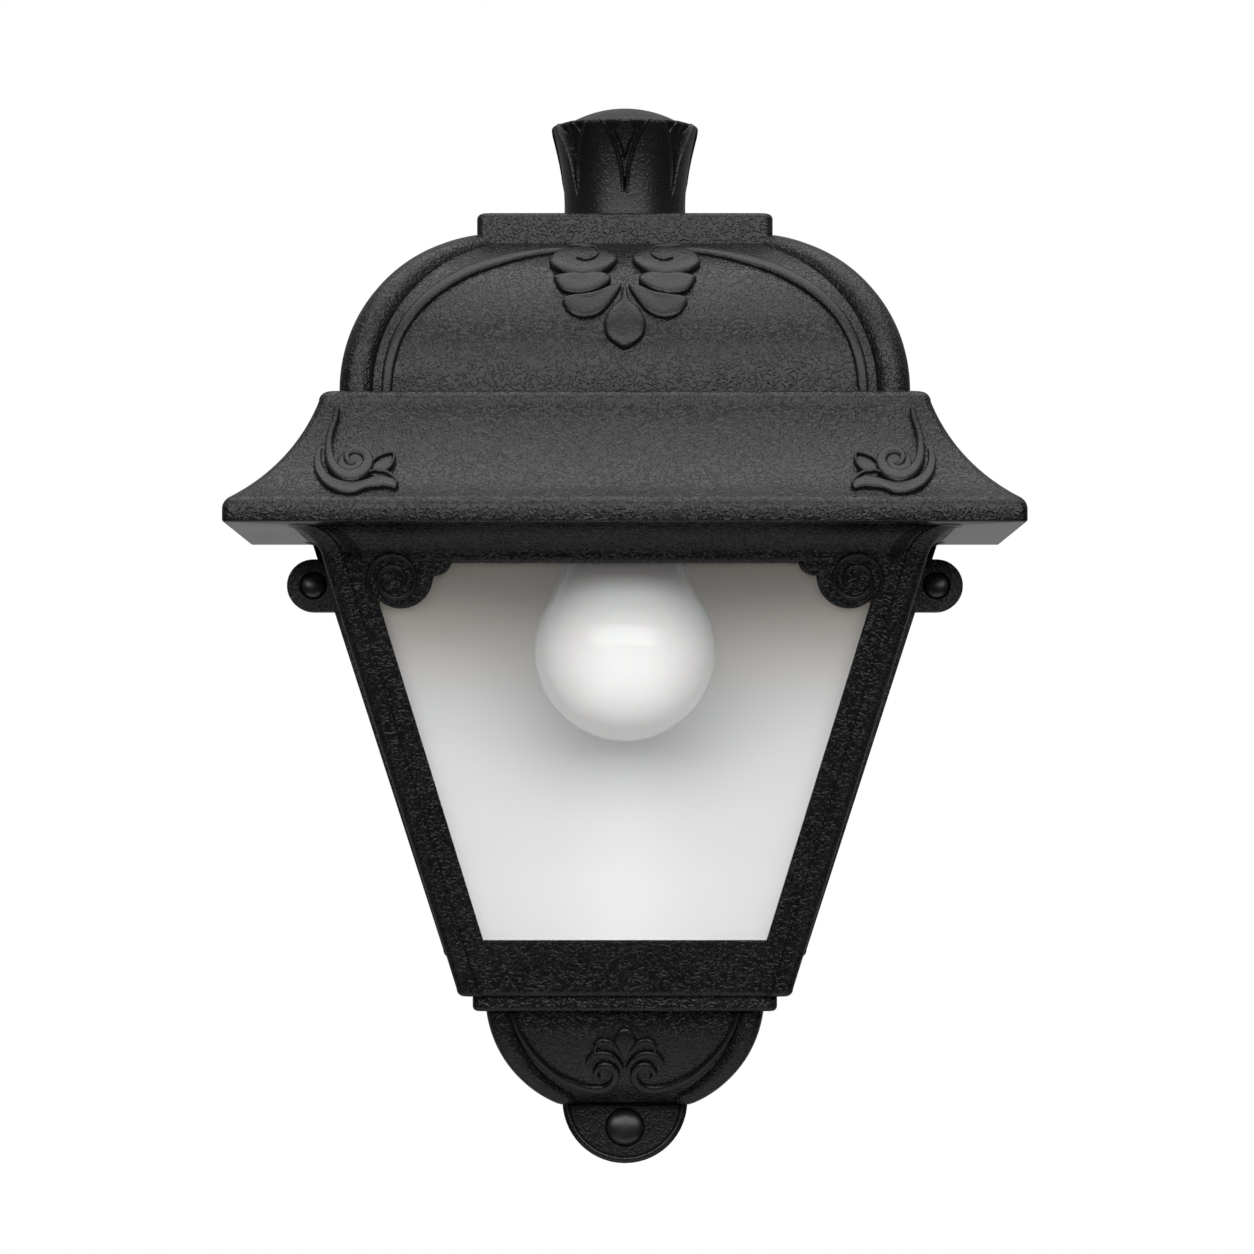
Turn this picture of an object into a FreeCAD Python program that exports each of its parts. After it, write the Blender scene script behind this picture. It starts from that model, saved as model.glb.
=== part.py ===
import FreeCAD, Part
import math
import os

# Half lantern for a wall, in millimetres: +Z up, +Y into the wall, y = 0 on the wall face.
# The origin is the centre of the circle through the three wall screws.
# The plan is half a square at every level: reach from the wall equals half width.

# Wall fixing
FIXING_OUT = 21.9
LOWER_FIXING_DROP = 8.9
FIXING_HOLE_R = 2.5
PLATE_T = 4.0
EAR_T = 6.5
EAR_SEAT_T = 2.5
UPPER_EAR_R = 8.9
UPPER_RECESS_R = 4.7
LOWER_EAR_R = 21.0
LOWER_EAR_RISE = 9.0
LOWER_EAR_RIM_W = 3.9
LOWER_EAR_RIM_H = 1.2
LOWER_RECESS_R = 6.6
PLATE_TOP_MARGIN = 6.0
PLATE_FOOT_MARGIN = 2.8
PLATE_GAP = 0.3
PLATE_WAIST = 8.0
PLATE_FOOT_Z = -62.0
TONGUE_HALF_W = 60.0
TONGUE_H = 64.0

# Screw caps
CAP_GAP = 0.7
CAP_FIT = 0.1
CAP_BASE_T = 1.0
CAP_PROUD = 1.0
CAP_WALL = 1.2

# Cage
SEAT_Z = 74.9
CAGE_H = 151.3
CAGE_TOP_W = 99.6
CAGE_FOOT_W = 54.1
CAGE_WALL = 4.0
FOOT_ROUND = 2.5
COVE_H = 10.5
COVE_OUT = 9.1
COVE_R = 12.5
STILE_W = 13.4
BEAD_W = 6.8
FIELD_DEPTH = 1.2
REAR_STILE_W = 20.0
TOP_RAIL_H = 11.3
BOTTOM_RAIL_H = 18.6
SILL_H = 3.0
FLOOR_T = 3.0
UPSTAND_H = 4.0
UPSTAND_T = 2.0
DISC_R = 10.6
DISC_X = 72.0
DISC_DROP = 15.7
LOBE_R = 5.3
LOBE_X = 60.6
LOBE_DROP = 10.5
DISC_BORDER = 1.0
VOLUTE_W = 1.7

# Neck and cup
NECK_W = 50.0
NECK_H = 4.9
NECK_ROUND = 1.8
CUP_W = 43.2
CUP_H = 31.3
CUP_TIP_W = 16.0
CUP_R = 38.0
CUP_WALL = 3.5
CUP_RIB_R = 4.3
CUP_RIB_SINK = 1.8

# Roof
ROOF_WALL = 3.0
ROOF_BACK_GAP = 0.3
EAVE_OUT = 18.2
FASCIA_H = 4.2
FASCIA_ROUND = 4.5
FASCIA_TURN = 58.5
SKIRT_H = 44.0
SKIRT_TOP_W = 98.2
SKIRT_SCROLL_X = 88.0
SKIRT_SCROLL_Z = 23.5
SHOULDER_R = 3.5
DOME_W = 89.3
DOME_H = 52.9
DOME_R = 54.0
RIB_R = 4.6
RIB_SINK = 1.8
PALMETTE_SCROLL_DROP = 7.5
PALMETTE_LEAF_DROP = 26.0
TOP_PLATE_W = 48.9
TOP_PLATE_T = 10.3
TOP_PLATE_ROUND = 2.0
SEAT_FIT = 0.4
BEAD_OFF = 10.6
BEAD_STRIP_W = 3.8
RELIEF_H = 1.2

# Diffuser and reflector
PANE_T = 2.0
PANE_FIT = 0.3
PANE_BACK = 17.0
REFLECTOR_T = 1.5

# Lamp, holder and bracket
LAMP_Y = -45.0
BULB_R = 30.0
BULB_LENGTH = 108.0
BULB_CAP_R = 13.0
BULB_CAP_H = 27.0
BULB_COLLAR_R = 14.5
BULB_NECK_R = 122.0
BULB_CLEARANCE_Z = 7.5
CONTACT_R = 4.5
BLADE_W = 5.0
BLADE_T = 0.6
BLADE_OVERHANG = 3.0
CONTACT_TIP_R = 2.0
CONTACT_TIP_H = 1.3
THREAD_GAP = 0.4
THREAD_SHELL_T = 0.5
THREAD_SHELL_H = 23.0
HOLDER_R = 20.0
HOLDER_WALL = 2.0
HOLDER_ROUND = 8.0
HOLDER_SKIRT = 4.0
HOLDER_HEAD = 15.0
BASE_R = 17.0
NIPPLE_R = 5.0
NIPPLE_BORE_R = 4.0
NIPPLE_NUT_AF = 14.0
NIPPLE_NUT_T = 4.0
BRACKET_T = 2.0
BRACKET_W = 30.0
BRACKET_LEG = 33.0
BRACKET_TOE = 17.0
BRACKET_SCREW_R = 2.0
BRACKET_HEAD_R = 3.8
BRACKET_NUT_AF = 7.0
BRACKET_NUT_T = 3.0
BRACKET_SCREW_PITCH = 16.0

# Roof stud and finial
FINIAL_Y = -25.0
STUD_R = 3.0
STUD_FIT = 0.35
STUD_NUT_AF = 10.0
STUD_NUT_T = 5.0
FINIAL_BASE_R = 20.3
FINIAL_RIM_R = 24.2
FINIAL_H = 31.8
FINIAL_FLARE_R = 90.0
FINIAL_LIP = 1.2
FINIAL_CROWN_R = 21.6
FINIAL_CROWN_H = 5.7
FINIAL_WALL = 3.0
PETALS = 7
PETAL_T = 2.0
PETAL_NOTCH_H = 25.0
PETAL_NOTCH_W = 17.0
PETAL_EDGE_R = 70.0
INSERT_R = 5.5
INSERT_H = 14.0
WASHER_R = 12.0
WASHER_T = 1.5

# Wiring
BLOCK_X = -41.0
BLOCK_W = 26.0
BLOCK_D = 14.0
BLOCK_H = 17.0
BLOCK_RISE = 21.0
POLE_PITCH = 13.0
CLAMP_SCREW_R = 1.7
WIRE_R = 1.1
WIRE_BEND = 8.0
WIRE_PEAK = 12.0
WIRE_SPREAD = 1.5
GROMMET_X = 40.0
GROMMET_RISE = 27.0
GROMMET_BORE_R = 4.0
GROMMET_NECK_R = 7.0
GROMMET_LIP_R = 9.5
GROMMET_LIP_T = 1.6

# Small screws that hold the cage to the wall plate
SCREW_R = 1.5
SCREW_HEAD_R = 2.8
SCREW_HEAD_T = 1.9
SCREW_GRIP = 10.0
SCREW_FIT = 0.1
BOSS_R = 4.0
BOSS_X = 30.0

# Levels and half widths that follow from the sizes above
FOOT_Z = SEAT_Z - CAGE_H
NECK_Z = FOOT_Z - NECK_H
CUP_TIP_Z = NECK_Z - CUP_H
WINDOW_TOP_Z = SEAT_Z - TOP_RAIL_H
WINDOW_FOOT_Z = FOOT_Z + BOTTOM_RAIL_H
FLOOR_Z = WINDOW_FOOT_Z - SILL_H
LIP_W = CAGE_TOP_W + COVE_OUT
EAVE_W = LIP_W + EAVE_OUT
LEDGE_Z = SEAT_Z + SKIRT_H
TOP_PLATE_Z = LEDGE_Z + DOME_H
ROOF_TOP_Z = TOP_PLATE_Z + TOP_PLATE_T
RIM_Z = ROOF_TOP_Z + FINIAL_H
BULB_FOOT_Z = BULB_CLEARANCE_Z
CONTACT_Z = BULB_FOOT_Z + BULB_LENGTH
ARM_Z = CONTACT_Z + HOLDER_HEAD
TONGUE_TOP_Z = SEAT_Z + TONGUE_H
FIXING_R = CAGE_TOP_W + FIXING_OUT
FIXINGS = [(FIXING_R * math.cos(math.radians(a)), FIXING_R * math.sin(math.radians(a))) for a in (30, 150)]
FIXINGS.append((0, CUP_TIP_Z - LOWER_FIXING_DROP))

FORWARD = FreeCAD.Vector(0, -1, 0)
UP = FreeCAD.Vector(0, 0, 1)
FAR = 400.0


def vec(x, y, z):
    """Point or direction in the shared frame."""
    return FreeCAD.Vector(x, y, z)


def rod(x, y, z, radius, length, direction=FORWARD):
    """Round bar that starts at a point and runs along a direction."""
    return Part.makeCylinder(radius, length, vec(x, y, z), direction)


def block(x0, x1, y0, y1, z0, z1):
    """Box between two corners."""
    return Part.makeBox(x1 - x0, y1 - y0, z1 - z0, vec(x0, y0, z0))


def fused(shapes):
    """One clean solid from several that overlap."""
    shapes = list(shapes)
    return shapes[0].fuse(shapes[1:]).removeSplitter()


def mirrored(shape):
    """The same shape on the other side of the middle plane."""
    return shape.mirror(vec(0, 0, 0), vec(1, 0, 0))


def both_sides(shape):
    """A shape and its mirror image."""
    return [shape, mirrored(shape)]


def arc_centre(p, q, radius):
    """Centre of the arc from p to q; it lies to the left of the way where radius is positive."""
    du, dv = q[0] - p[0], q[1] - p[1]
    chord = math.hypot(du, dv)
    rise = math.copysign(math.sqrt(radius ** 2 - chord ** 2 / 4), radius)
    return ((p[0] + q[0]) / 2 - dv / chord * rise, (p[1] + q[1]) / 2 + du / chord * rise)


def arc_middle(p, q, radius):
    """Point halfway along the shorter arc from p to q."""
    cu, cv = arc_centre(p, q, radius)
    du, dv = (p[0] + q[0]) / 2 - cu, (p[1] + q[1]) / 2 - cv
    scale = abs(radius) / math.hypot(du, dv)
    return cu + du * scale, cv + dv * scale


def outline_edges(outline, place):
    """Edges along an outline of (u, v, radius) steps; radius 0 is a straight step."""
    edges = []
    for p, q in zip(outline, outline[1:]):
        start, end = place(p[0], p[1]), place(q[0], q[1])
        if q[2]:
            middle = place(*arc_middle(p, q, q[2]))
            edges.append(Part.Arc(start, middle, end).toShape())
        else:
            edges.append(Part.LineSegment(start, end).toShape())
    return edges


def closed_face(outline, place):
    """Flat face inside an outline, closed by a straight step where its ends differ."""
    first, last = outline[0], outline[-1]
    if math.hypot(first[0] - last[0], first[1] - last[1]) > 1e-6:
        outline = outline + [(first[0], first[1], 0)]
    return Part.Face(Part.Wire(outline_edges(outline, place)))


def upright(u, v):
    """Outline point in the plane of the wall."""
    return vec(u, 0, v)


def sideways(u, v):
    """Outline point in the middle plane, with u as the reach from the wall."""
    return vec(0, -u, v)


def two_sided(outline):
    """A half outline followed by its mirror image."""
    back = []
    radius = 0
    for u, v, step_radius in reversed(outline):
        back.append((-u, v, radius))
        radius = step_radius
    return list(outline) + back


def pavilion(outline, rear=0.0):
    """Solid whose half width and reach both follow an outline; its flat back is at y = rear."""
    front = closed_face(two_sided(outline), upright)
    back = [(-rear, outline[-1][1], 0), (-rear, outline[0][1], 0)]
    side = closed_face(outline + back, sideways)
    front.translate(vec(0, FAR / 2, 0))
    side.translate(vec(-FAR / 2, 0, 0))
    return front.extrude(vec(0, -FAR, 0)).common(side.extrude(vec(FAR, 0, 0)))


def along_y(outline, y0, y1):
    """Prism of an upright outline between two y values."""
    face = closed_face(outline, upright)
    face.translate(vec(0, y0, 0))
    return face.extrude(vec(0, y1 - y0, 0))


def along_x(outline, x0, x1):
    """Prism of a sideways outline between two x values."""
    face = closed_face(outline, sideways)
    face.translate(vec(x0, 0, 0))
    return face.extrude(vec(x1 - x0, 0, 0))


def turned(outline, x=0.0, y=0.0):
    """Solid of revolution about an upright axis from (radius, z) steps."""
    face = closed_face(outline, upright)
    solid = face.revolve(vec(0, 0, 0), UP, 360)
    solid.translate(vec(x, y, 0))
    return solid


def hex_prism(across_flats, height, x, y, z):
    """Upright hexagon bar for a nut."""
    radius = across_flats / math.sqrt(3)
    corners = [vec(x + radius * math.cos(i * math.pi / 3), y + radius * math.sin(i * math.pi / 3), z)
               for i in range(7)]
    return Part.Face(Part.makePolygon(corners)).extrude(vec(0, 0, height))


def hip_rib(start, end, radius, sink, rib_r):
    """Round rib along the right-hand hip of an arc outline, sunk towards the arc's centre."""
    cu, cv = arc_centre(start, end, radius)
    shrink = (abs(radius) - sink) / abs(radius)
    p = (cu + (start[0] - cu) * shrink, cv + (start[1] - cv) * shrink)
    q = (cu + (end[0] - cu) * shrink, cv + (end[1] - cv) * shrink)
    arc = outline_edges([(*p, 0), (*q, radius * shrink)], upright)[0]
    onto_hip = FreeCAD.Matrix(1, 0, 0, 0, -1, 1, 0, 0, 0, 0, 1, 0, 0, 0, 0, 1)
    path = arc.transformGeometry(onto_hip).Edges[0]
    first = path.valueAt(path.FirstParameter)
    tangent = path.tangentAt(path.FirstParameter)
    section = Part.Wire(Part.makeCircle(rib_r, first, tangent))
    rib = Part.Wire(path).makePipeShell([section], True, True)
    last = path.valueAt(path.LastParameter)
    return fused([rib, Part.makeSphere(rib_r, last)])


def drop_face(x, tip, far, radius):
    """Teardrop: a point at one height and a round end of a given radius at another."""
    toward = math.copysign(1, tip - far)
    centre = far + toward * radius
    lean = math.asin(radius / abs(tip - centre))
    dx, dz = radius * math.cos(lean), toward * radius * math.sin(lean)
    left, right = vec(x - dx, 0, centre + dz), vec(x + dx, 0, centre + dz)
    round_end = Part.Arc(right, vec(x, 0, far), left).toShape()
    sides = Part.makePolygon([left, vec(x, 0, tip), right])
    return Part.Face(Part.Wire([round_end] + sides.Edges))


def leaf_face(root, tip, upper, lower):
    """Leaf between two points, with the bulge of each edge to the left of root to tip."""
    dx, dz = tip[0] - root[0], tip[1] - root[1]
    length = math.hypot(dx, dz)
    middles = [((root[0] + tip[0]) / 2 - dz / length * bulge, (root[1] + tip[1]) / 2 + dx / length * bulge)
               for bulge in (upper, lower)]
    a, b = vec(root[0], 0, root[1]), vec(tip[0], 0, tip[1])
    edges = [Part.Arc(a, vec(m[0], 0, m[1]), b).toShape() for m in middles]
    return Part.Face(Part.Wire(edges))


def volute_face(x, z, radius, width, step, halves, start=1):
    """Spiral band of half circles that shrink by a step; start 1 begins at the right, -1 at the left."""
    outer, inner = [], []
    centre, side, upper = x, start, 1
    for i in range(halves):
        r = radius - i * step
        for band, rr in ((outer, r), (inner, r - width)):
            ends = [vec(centre + side * rr, 0, z), vec(centre - side * rr, 0, z)]
            band.append(Part.Arc(ends[0], vec(centre, 0, z + upper * rr), ends[1]).toShape())
        centre -= side * step
        side, upper = -side, -upper
    caps = [Part.LineSegment(outer[k].Vertexes[e].Point, inner[k].Vertexes[e].Point).toShape()
            for k, e in ((0, 0), (-1, 1))]
    return Part.Face(Part.Wire(Part.__sortEdges__(outer + inner + caps)))


def relief(faces, lean, x, reach, z, skin):
    """Raised ornament: flat faces leaned back by an angle, set on a surface and cut to its skin."""
    depth = 4 * RELIEF_H
    solids = []
    for face in faces:
        shape = face.copy()
        shape.translate(vec(0, depth, 0))
        solid = shape.extrude(vec(0, -2 * depth, 0))
        solid.rotate(vec(0, 0, 0), vec(1, 0, 0), -lean)
        solid.translate(vec(x, -reach, z))
        solids.append(solid.common(skin))
    return solids


def cage_w(z):
    """Half width of the cage's straight taper at a height."""
    return CAGE_TOP_W - (CAGE_TOP_W - CAGE_FOOT_W) * (SEAT_Z - z) / CAGE_H


def taper(inset, z0, z1):
    """Half outline of the taper between two heights, moved in by an inset."""
    return [(cage_w(z0) - inset, z0, 0), (cage_w(z1) - inset, z1, 0)]


def screw_places():
    """Places in the plane of the wall where the cage is screwed to its plate."""
    upper_z = SEAT_Z - CAGE_WALL
    upper_x = cage_w(upper_z)
    lower_z = FLOOR_Z - FLOOR_T - 0.75 * BOSS_R
    return [(side * x, z) for side in (1, -1) for x, z in ((upper_x, upper_z), (BOSS_X, lower_z))]


def cage_skin(inset):
    """Taper and cove above the neck as one filled solid, moved in by an inset."""
    foot_w = cage_w(FOOT_Z + FOOT_ROUND) - inset
    cove_z = SEAT_Z - COVE_H
    outline = [(foot_w - FOOT_ROUND, FOOT_Z, 0), (foot_w, FOOT_Z + FOOT_ROUND, FOOT_ROUND),
               (cage_w(cove_z) - inset, cove_z, 0), (LIP_W - inset, SEAT_Z, -COVE_R)]
    return pavilion(outline, rear=-PLATE_T)


def window_half():
    """Half outline of the front window before the scroll discs are left in it."""
    return taper(STILE_W, WINDOW_FOOT_Z, WINDOW_TOP_Z)


def scroll_discs(depth):
    """Round scroll plates in the upper corners of the front window."""
    discs = []
    for x, drop, radius in ((DISC_X, DISC_DROP, DISC_R), (LOBE_X, LOBE_DROP, LOBE_R)):
        discs += both_sides(rod(x, 0, SEAT_Z - drop, radius, depth))
    return discs


def cup_outline(inset):
    """Half outline of the cup's panel, moved in by an inset."""
    cu, cv = arc_centre((CUP_TIP_W, CUP_TIP_Z), (CUP_W, NECK_Z), CUP_R)
    radius = CUP_R - inset
    foot = CUP_TIP_Z + inset
    tip = cu + math.sqrt(radius ** 2 - (cv - foot) ** 2)
    top = cu + math.sqrt(radius ** 2 - (cv - NECK_Z) ** 2)
    return [(tip, foot, 0), (top, NECK_Z, radius)]


def cup_ornament(skin):
    """Small palmette with two scrolls on the cup's front."""
    z = NECK_Z - 0.5 * CUP_H
    leaves = [drop_face(0, -1.5, 9.5, 3.1)]
    for side in (1, -1):
        leaves.append(leaf_face((side * 1.5, -1.0), (side * 9.5, 4.0), side * 4.4, side * 1.2))
        leaves.append(leaf_face((side * 2.5, -2.5), (side * 13.5, -1.5), side * 3.4, side * 0.3))
        leaves.append(volute_face(side * 8.2, -6.4, 4.6, 1.6, 1.1, 3, side))
    cu, cv = arc_centre((CUP_TIP_W, CUP_TIP_Z), (CUP_W, NECK_Z), CUP_R)
    reach = cu + math.sqrt(CUP_R ** 2 - (z - cv) ** 2)
    lean = math.degrees(math.asin((z - cv) / CUP_R))
    return relief(leaves, lean, 0, reach, z, skin)


def cup_solid():
    """Neck and ribbed cup below the cage, filled."""
    neck = [(NECK_W - NECK_ROUND, NECK_Z, 0),
            (NECK_W, NECK_Z + NECK_ROUND, NECK_ROUND),
            (NECK_W, FOOT_Z + 1, 0)]
    panel = cup_outline(0)
    skin = pavilion(cup_outline(-RELIEF_H), rear=-PLATE_T)
    start, end = panel[1][:2], panel[0][:2]
    ribs = both_sides(hip_rib(start, end, -CUP_R, CUP_RIB_SINK, CUP_RIB_R))
    under_neck = block(-FAR, FAR, -FAR, -PLATE_T, CUP_TIP_Z, FOOT_Z)
    ribs = [rib.common(under_neck) for rib in ribs]
    forms = [pavilion(neck, rear=-PLATE_T), pavilion(panel, rear=-PLATE_T)]
    return fused(forms + ribs + cup_ornament(skin))


def proud_frame():
    """Filled cage with its beads left standing round the sunk fields of its three sides."""
    foot, top = FOOT_Z + FOOT_ROUND, SEAT_Z + 1
    field = taper(BEAD_W, foot, top)
    rear = REAR_STILE_W - STILE_W + BEAD_W
    front_field = along_y(two_sided(field), -FAR, -PLATE_T - REAR_STILE_W)
    side_field = along_x(field + [(rear, top, 0), (rear, foot, 0)], -FAR, FAR)
    proud = cage_skin(0).cut(front_field).cut(side_field)
    return fused([proud, cage_skin(FIELD_DEPTH)])


def window_cutters():
    """Front window with its scroll discs left in, and the two side windows."""
    front = along_y(two_sided(window_half()), -FAR, -PLATE_T - REAR_STILE_W)
    for disc in scroll_discs(FAR):
        front = front.cut(disc)
    rear = [(REAR_STILE_W, WINDOW_TOP_Z, 0), (REAR_STILE_W, WINDOW_FOOT_Z, 0)]
    side = along_x(window_half() + rear, -FAR, FAR)
    return [front, side]


def window_volutes():
    """Spiral reliefs on the scroll discs of the front window."""
    z = SEAT_Z - DISC_DROP
    lean = -math.degrees(math.atan((CAGE_TOP_W - CAGE_FOOT_W) / CAGE_H))
    raised = []
    for side in (1, -1):
        spiral = volute_face(0, 0, DISC_R - DISC_BORDER, VOLUTE_W, VOLUTE_W, 4, side)
        raised += relief([spiral], lean, side * DISC_X, cage_w(z) - FIELD_DEPTH, z, cage_skin(0))
    return raised


def cage_hollows():
    """Lamp chamber and the hollow of the cup, both open towards the wall."""
    chamber = pavilion(taper(CAGE_WALL, FLOOR_Z, SEAT_Z + UPSTAND_H + 1), rear=FAR)
    ceiling = (CUP_W - CUP_WALL, FLOOR_Z - FLOOR_T, 0)
    return [chamber, pavilion(cup_outline(CUP_WALL) + [ceiling], rear=FAR)]


def body_frame():
    """Cage with three windows, neck and cup, open at the top and towards the wall."""
    upstand = pavilion(taper(CAGE_WALL - UPSTAND_T, SEAT_Z - CAGE_WALL, SEAT_Z + UPSTAND_H), rear=-PLATE_T)
    frame = fused([proud_frame(), upstand, cup_solid()] + window_volutes())
    for cutter in cage_hollows() + window_cutters():
        frame = frame.cut(cutter)
    bosses = [rod(x, -PLATE_T, z, BOSS_R, SCREW_GRIP + BOSS_R)
              for x, z in screw_places() if abs(x) == BOSS_X]
    frame = fused([frame] + bosses)
    for x, z in screw_places():
        frame = frame.cut(rod(x, 0, z, SCREW_R + SCREW_FIT, PLATE_T + SCREW_GRIP + 1))
    return frame


def plate_outline():
    """Half outline of the wall plate from the lower ear up to the tongue."""
    ear_z = FIXINGS[2][1] + LOWER_EAR_RISE
    foot_w = cage_w(PLATE_FOOT_Z)
    top_z = SEAT_Z - PLATE_GAP
    return [(LOWER_EAR_R, ear_z, 0),
            (CUP_TIP_W + LOWER_EAR_R / 2, CUP_TIP_Z + CUP_H / 2, 0),
            (NECK_W - PLATE_WAIST, FOOT_Z, 0),
            (foot_w, PLATE_FOOT_Z - PLATE_FOOT_MARGIN, 0),
            (foot_w + PLATE_FOOT_MARGIN, PLATE_FOOT_Z, PLATE_FOOT_MARGIN),
            (cage_w(top_z) + PLATE_TOP_MARGIN, top_z, 0),
            (TONGUE_HALF_W, top_z, 0),
            (TONGUE_HALF_W, TONGUE_TOP_Z, 0)]


def lower_ear():
    """Half disc below the cup with a raised rim."""
    ear_z = FIXINGS[2][1] + LOWER_EAR_RISE
    below = block(-FAR, FAR, -FAR, FAR, -FAR, ear_z)
    cup_room = block(-FAR, FAR, -FAR, -PLATE_T, CUP_TIP_Z - PLATE_GAP, FAR)
    disc = rod(0, 0, ear_z, LOWER_EAR_R, EAR_T)
    rim = rod(0, -EAR_T, ear_z, LOWER_EAR_R, LOWER_EAR_RIM_H)
    rim = rim.cut(rod(0, 0, ear_z, LOWER_EAR_R - LOWER_EAR_RIM_W, FAR))
    return fused([disc, rim]).common(below).cut(cup_room)


def upper_ears():
    """Round ears beside the cage, joined to the plate and kept clear of the cage."""
    ears = []
    clear = cage_skin(-PLATE_GAP)
    for x, z in FIXINGS[:2]:
        inner_x = math.copysign(cage_w(z), x)
        root = block(min(x, inner_x), max(x, inner_x), -EAR_T, 0, z - UPPER_EAR_R, z + UPPER_EAR_R)
        ears.append(fused([rod(x, 0, z, UPPER_EAR_R, EAR_T), root]).cut(clear))
    return ears


def plate_holes():
    """Wall holes with their recesses, cage screws, bracket screws, cable way and the block's screw."""
    cable_z = SEAT_Z + GROMMET_RISE
    holes = [rod(GROMMET_X, 0, cable_z, GROMMET_NECK_R, FAR),
             rod(GROMMET_X, 0, cable_z, GROMMET_LIP_R + PANE_FIT, GROMMET_LIP_T),
             rod(BLOCK_X, 1, SEAT_Z + BLOCK_RISE + BLOCK_H / 2, SCREW_R + SCREW_FIT, FAR)]
    for (x, z), recess in zip(FIXINGS, (UPPER_RECESS_R, UPPER_RECESS_R, LOWER_RECESS_R)):
        holes += [rod(x, 1, z, FIXING_HOLE_R, FAR), rod(x, -EAR_SEAT_T, z, recess, FAR)]
    head_room = SCREW_HEAD_T + 1.1
    for x, z in screw_places():
        holes.append(rod(x, 1, z, SCREW_R + SCREW_FIT, FAR))
        holes.append(rod(x, 1, z, SCREW_HEAD_R + SCREW_FIT, head_room))
    for z in bracket_screw_levels():
        holes.append(rod(0, 1, z, BRACKET_SCREW_R + SCREW_FIT, FAR))
        holes.append(rod(0, 1, z, BRACKET_HEAD_R + SCREW_FIT, head_room))
    return holes


def wall_plate():
    """Plate on the wall with three ears, a tongue up into the roof and holes for cable and screws."""
    sheet = along_y(two_sided(plate_outline()), -PLATE_T, 0)
    plate = fused([sheet, lower_ear()] + upper_ears())
    for hole in plate_holes():
        plate = plate.cut(hole)
    return plate


def body_screws():
    """Four screws from behind the wall plate into the cage."""
    screws = []
    for x, z in screw_places():
        head = rod(x, -SCREW_HEAD_T - SCREW_FIT, z, SCREW_HEAD_R, SCREW_HEAD_T, vec(0, 1, 0))
        shank = rod(x, -SCREW_HEAD_T - SCREW_FIT, z, SCREW_R, PLATE_T - SCREW_HEAD_T + SCREW_GRIP)
        screws.append(fused([head, shank]))
    return Part.makeCompound(screws)


def reflector():
    """White sheet on the front of the wall plate, inside the cage."""
    half = taper(CAGE_WALL + PANE_FIT, FLOOR_Z + PANE_FIT, SEAT_Z - PANE_FIT)
    return along_y(two_sided(half), -PLATE_T - REFLECTOR_T, -PLATE_T)


def diffuser():
    """Clear three-sided tray that stands on the cage floor inside the windows."""
    top_z = SEAT_Z - CAGE_WALL
    outer = pavilion(taper(CAGE_WALL + PANE_FIT, FLOOR_Z, top_z), rear=-PANE_BACK)
    inner = pavilion(taper(CAGE_WALL + PANE_FIT + PANE_T, FLOOR_Z - 1, top_z + 1), rear=FAR)
    return outer.cut(inner)


def roof_outline(inset=0.0):
    """Half outline of the roof from the eave to the top plate, moved in by an inset, without ribs."""
    turn = math.radians(FASCIA_TURN)
    fascia = (EAVE_W - FASCIA_ROUND, SEAT_Z + FASCIA_H)
    round_r = FASCIA_ROUND - inset
    skirt = skirt_centre()
    dome = dome_centre()
    shoulder_r = SHOULDER_R - inset
    ledge_z = LEDGE_Z - inset
    plate_w = TOP_PLATE_W - inset
    skirt_r = math.dist(skirt, (SKIRT_TOP_W, LEDGE_Z - SHOULDER_R)) + inset
    dome_r = DOME_R - inset
    return [(EAVE_W - inset, SEAT_Z + inset, 0),
            (EAVE_W - inset, fascia[1], 0),
            (fascia[0] + round_r * math.cos(turn), fascia[1] + round_r * math.sin(turn), round_r),
            (SKIRT_TOP_W - inset, LEDGE_Z - SHOULDER_R, -skirt_r),
            (SKIRT_TOP_W - SHOULDER_R, ledge_z, shoulder_r),
            (dome[0] + math.sqrt(dome_r ** 2 - (ledge_z - dome[1]) ** 2), ledge_z, 0),
            (plate_w, dome[1] + math.sqrt(dome_r ** 2 - (plate_w - dome[0]) ** 2), dome_r),
            (plate_w, ROOF_TOP_Z - inset - TOP_PLATE_ROUND, 0),
            (plate_w - TOP_PLATE_ROUND, ROOF_TOP_Z - inset, TOP_PLATE_ROUND)]


def skirt_centre():
    """Centre of the skirt's hollow arc, which leaves the rounded fascia without a break."""
    turn = math.radians(FASCIA_TURN)
    start = (EAVE_W - FASCIA_ROUND * (1 - math.cos(turn)),
             SEAT_Z + FASCIA_H + FASCIA_ROUND * math.sin(turn))
    du, dv = SKIRT_TOP_W - start[0], LEDGE_Z - SHOULDER_R - start[1]
    outward = (math.cos(turn), math.sin(turn))
    radius = (du ** 2 + dv ** 2) / (2 * (du * outward[0] + dv * outward[1]))
    return start[0] + radius * outward[0], start[1] + radius * outward[1]


def dome_centre():
    """Centre of the dome's arc."""
    return arc_centre((DOME_W, LEDGE_Z), (TOP_PLATE_W, TOP_PLATE_Z), DOME_R)


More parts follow.
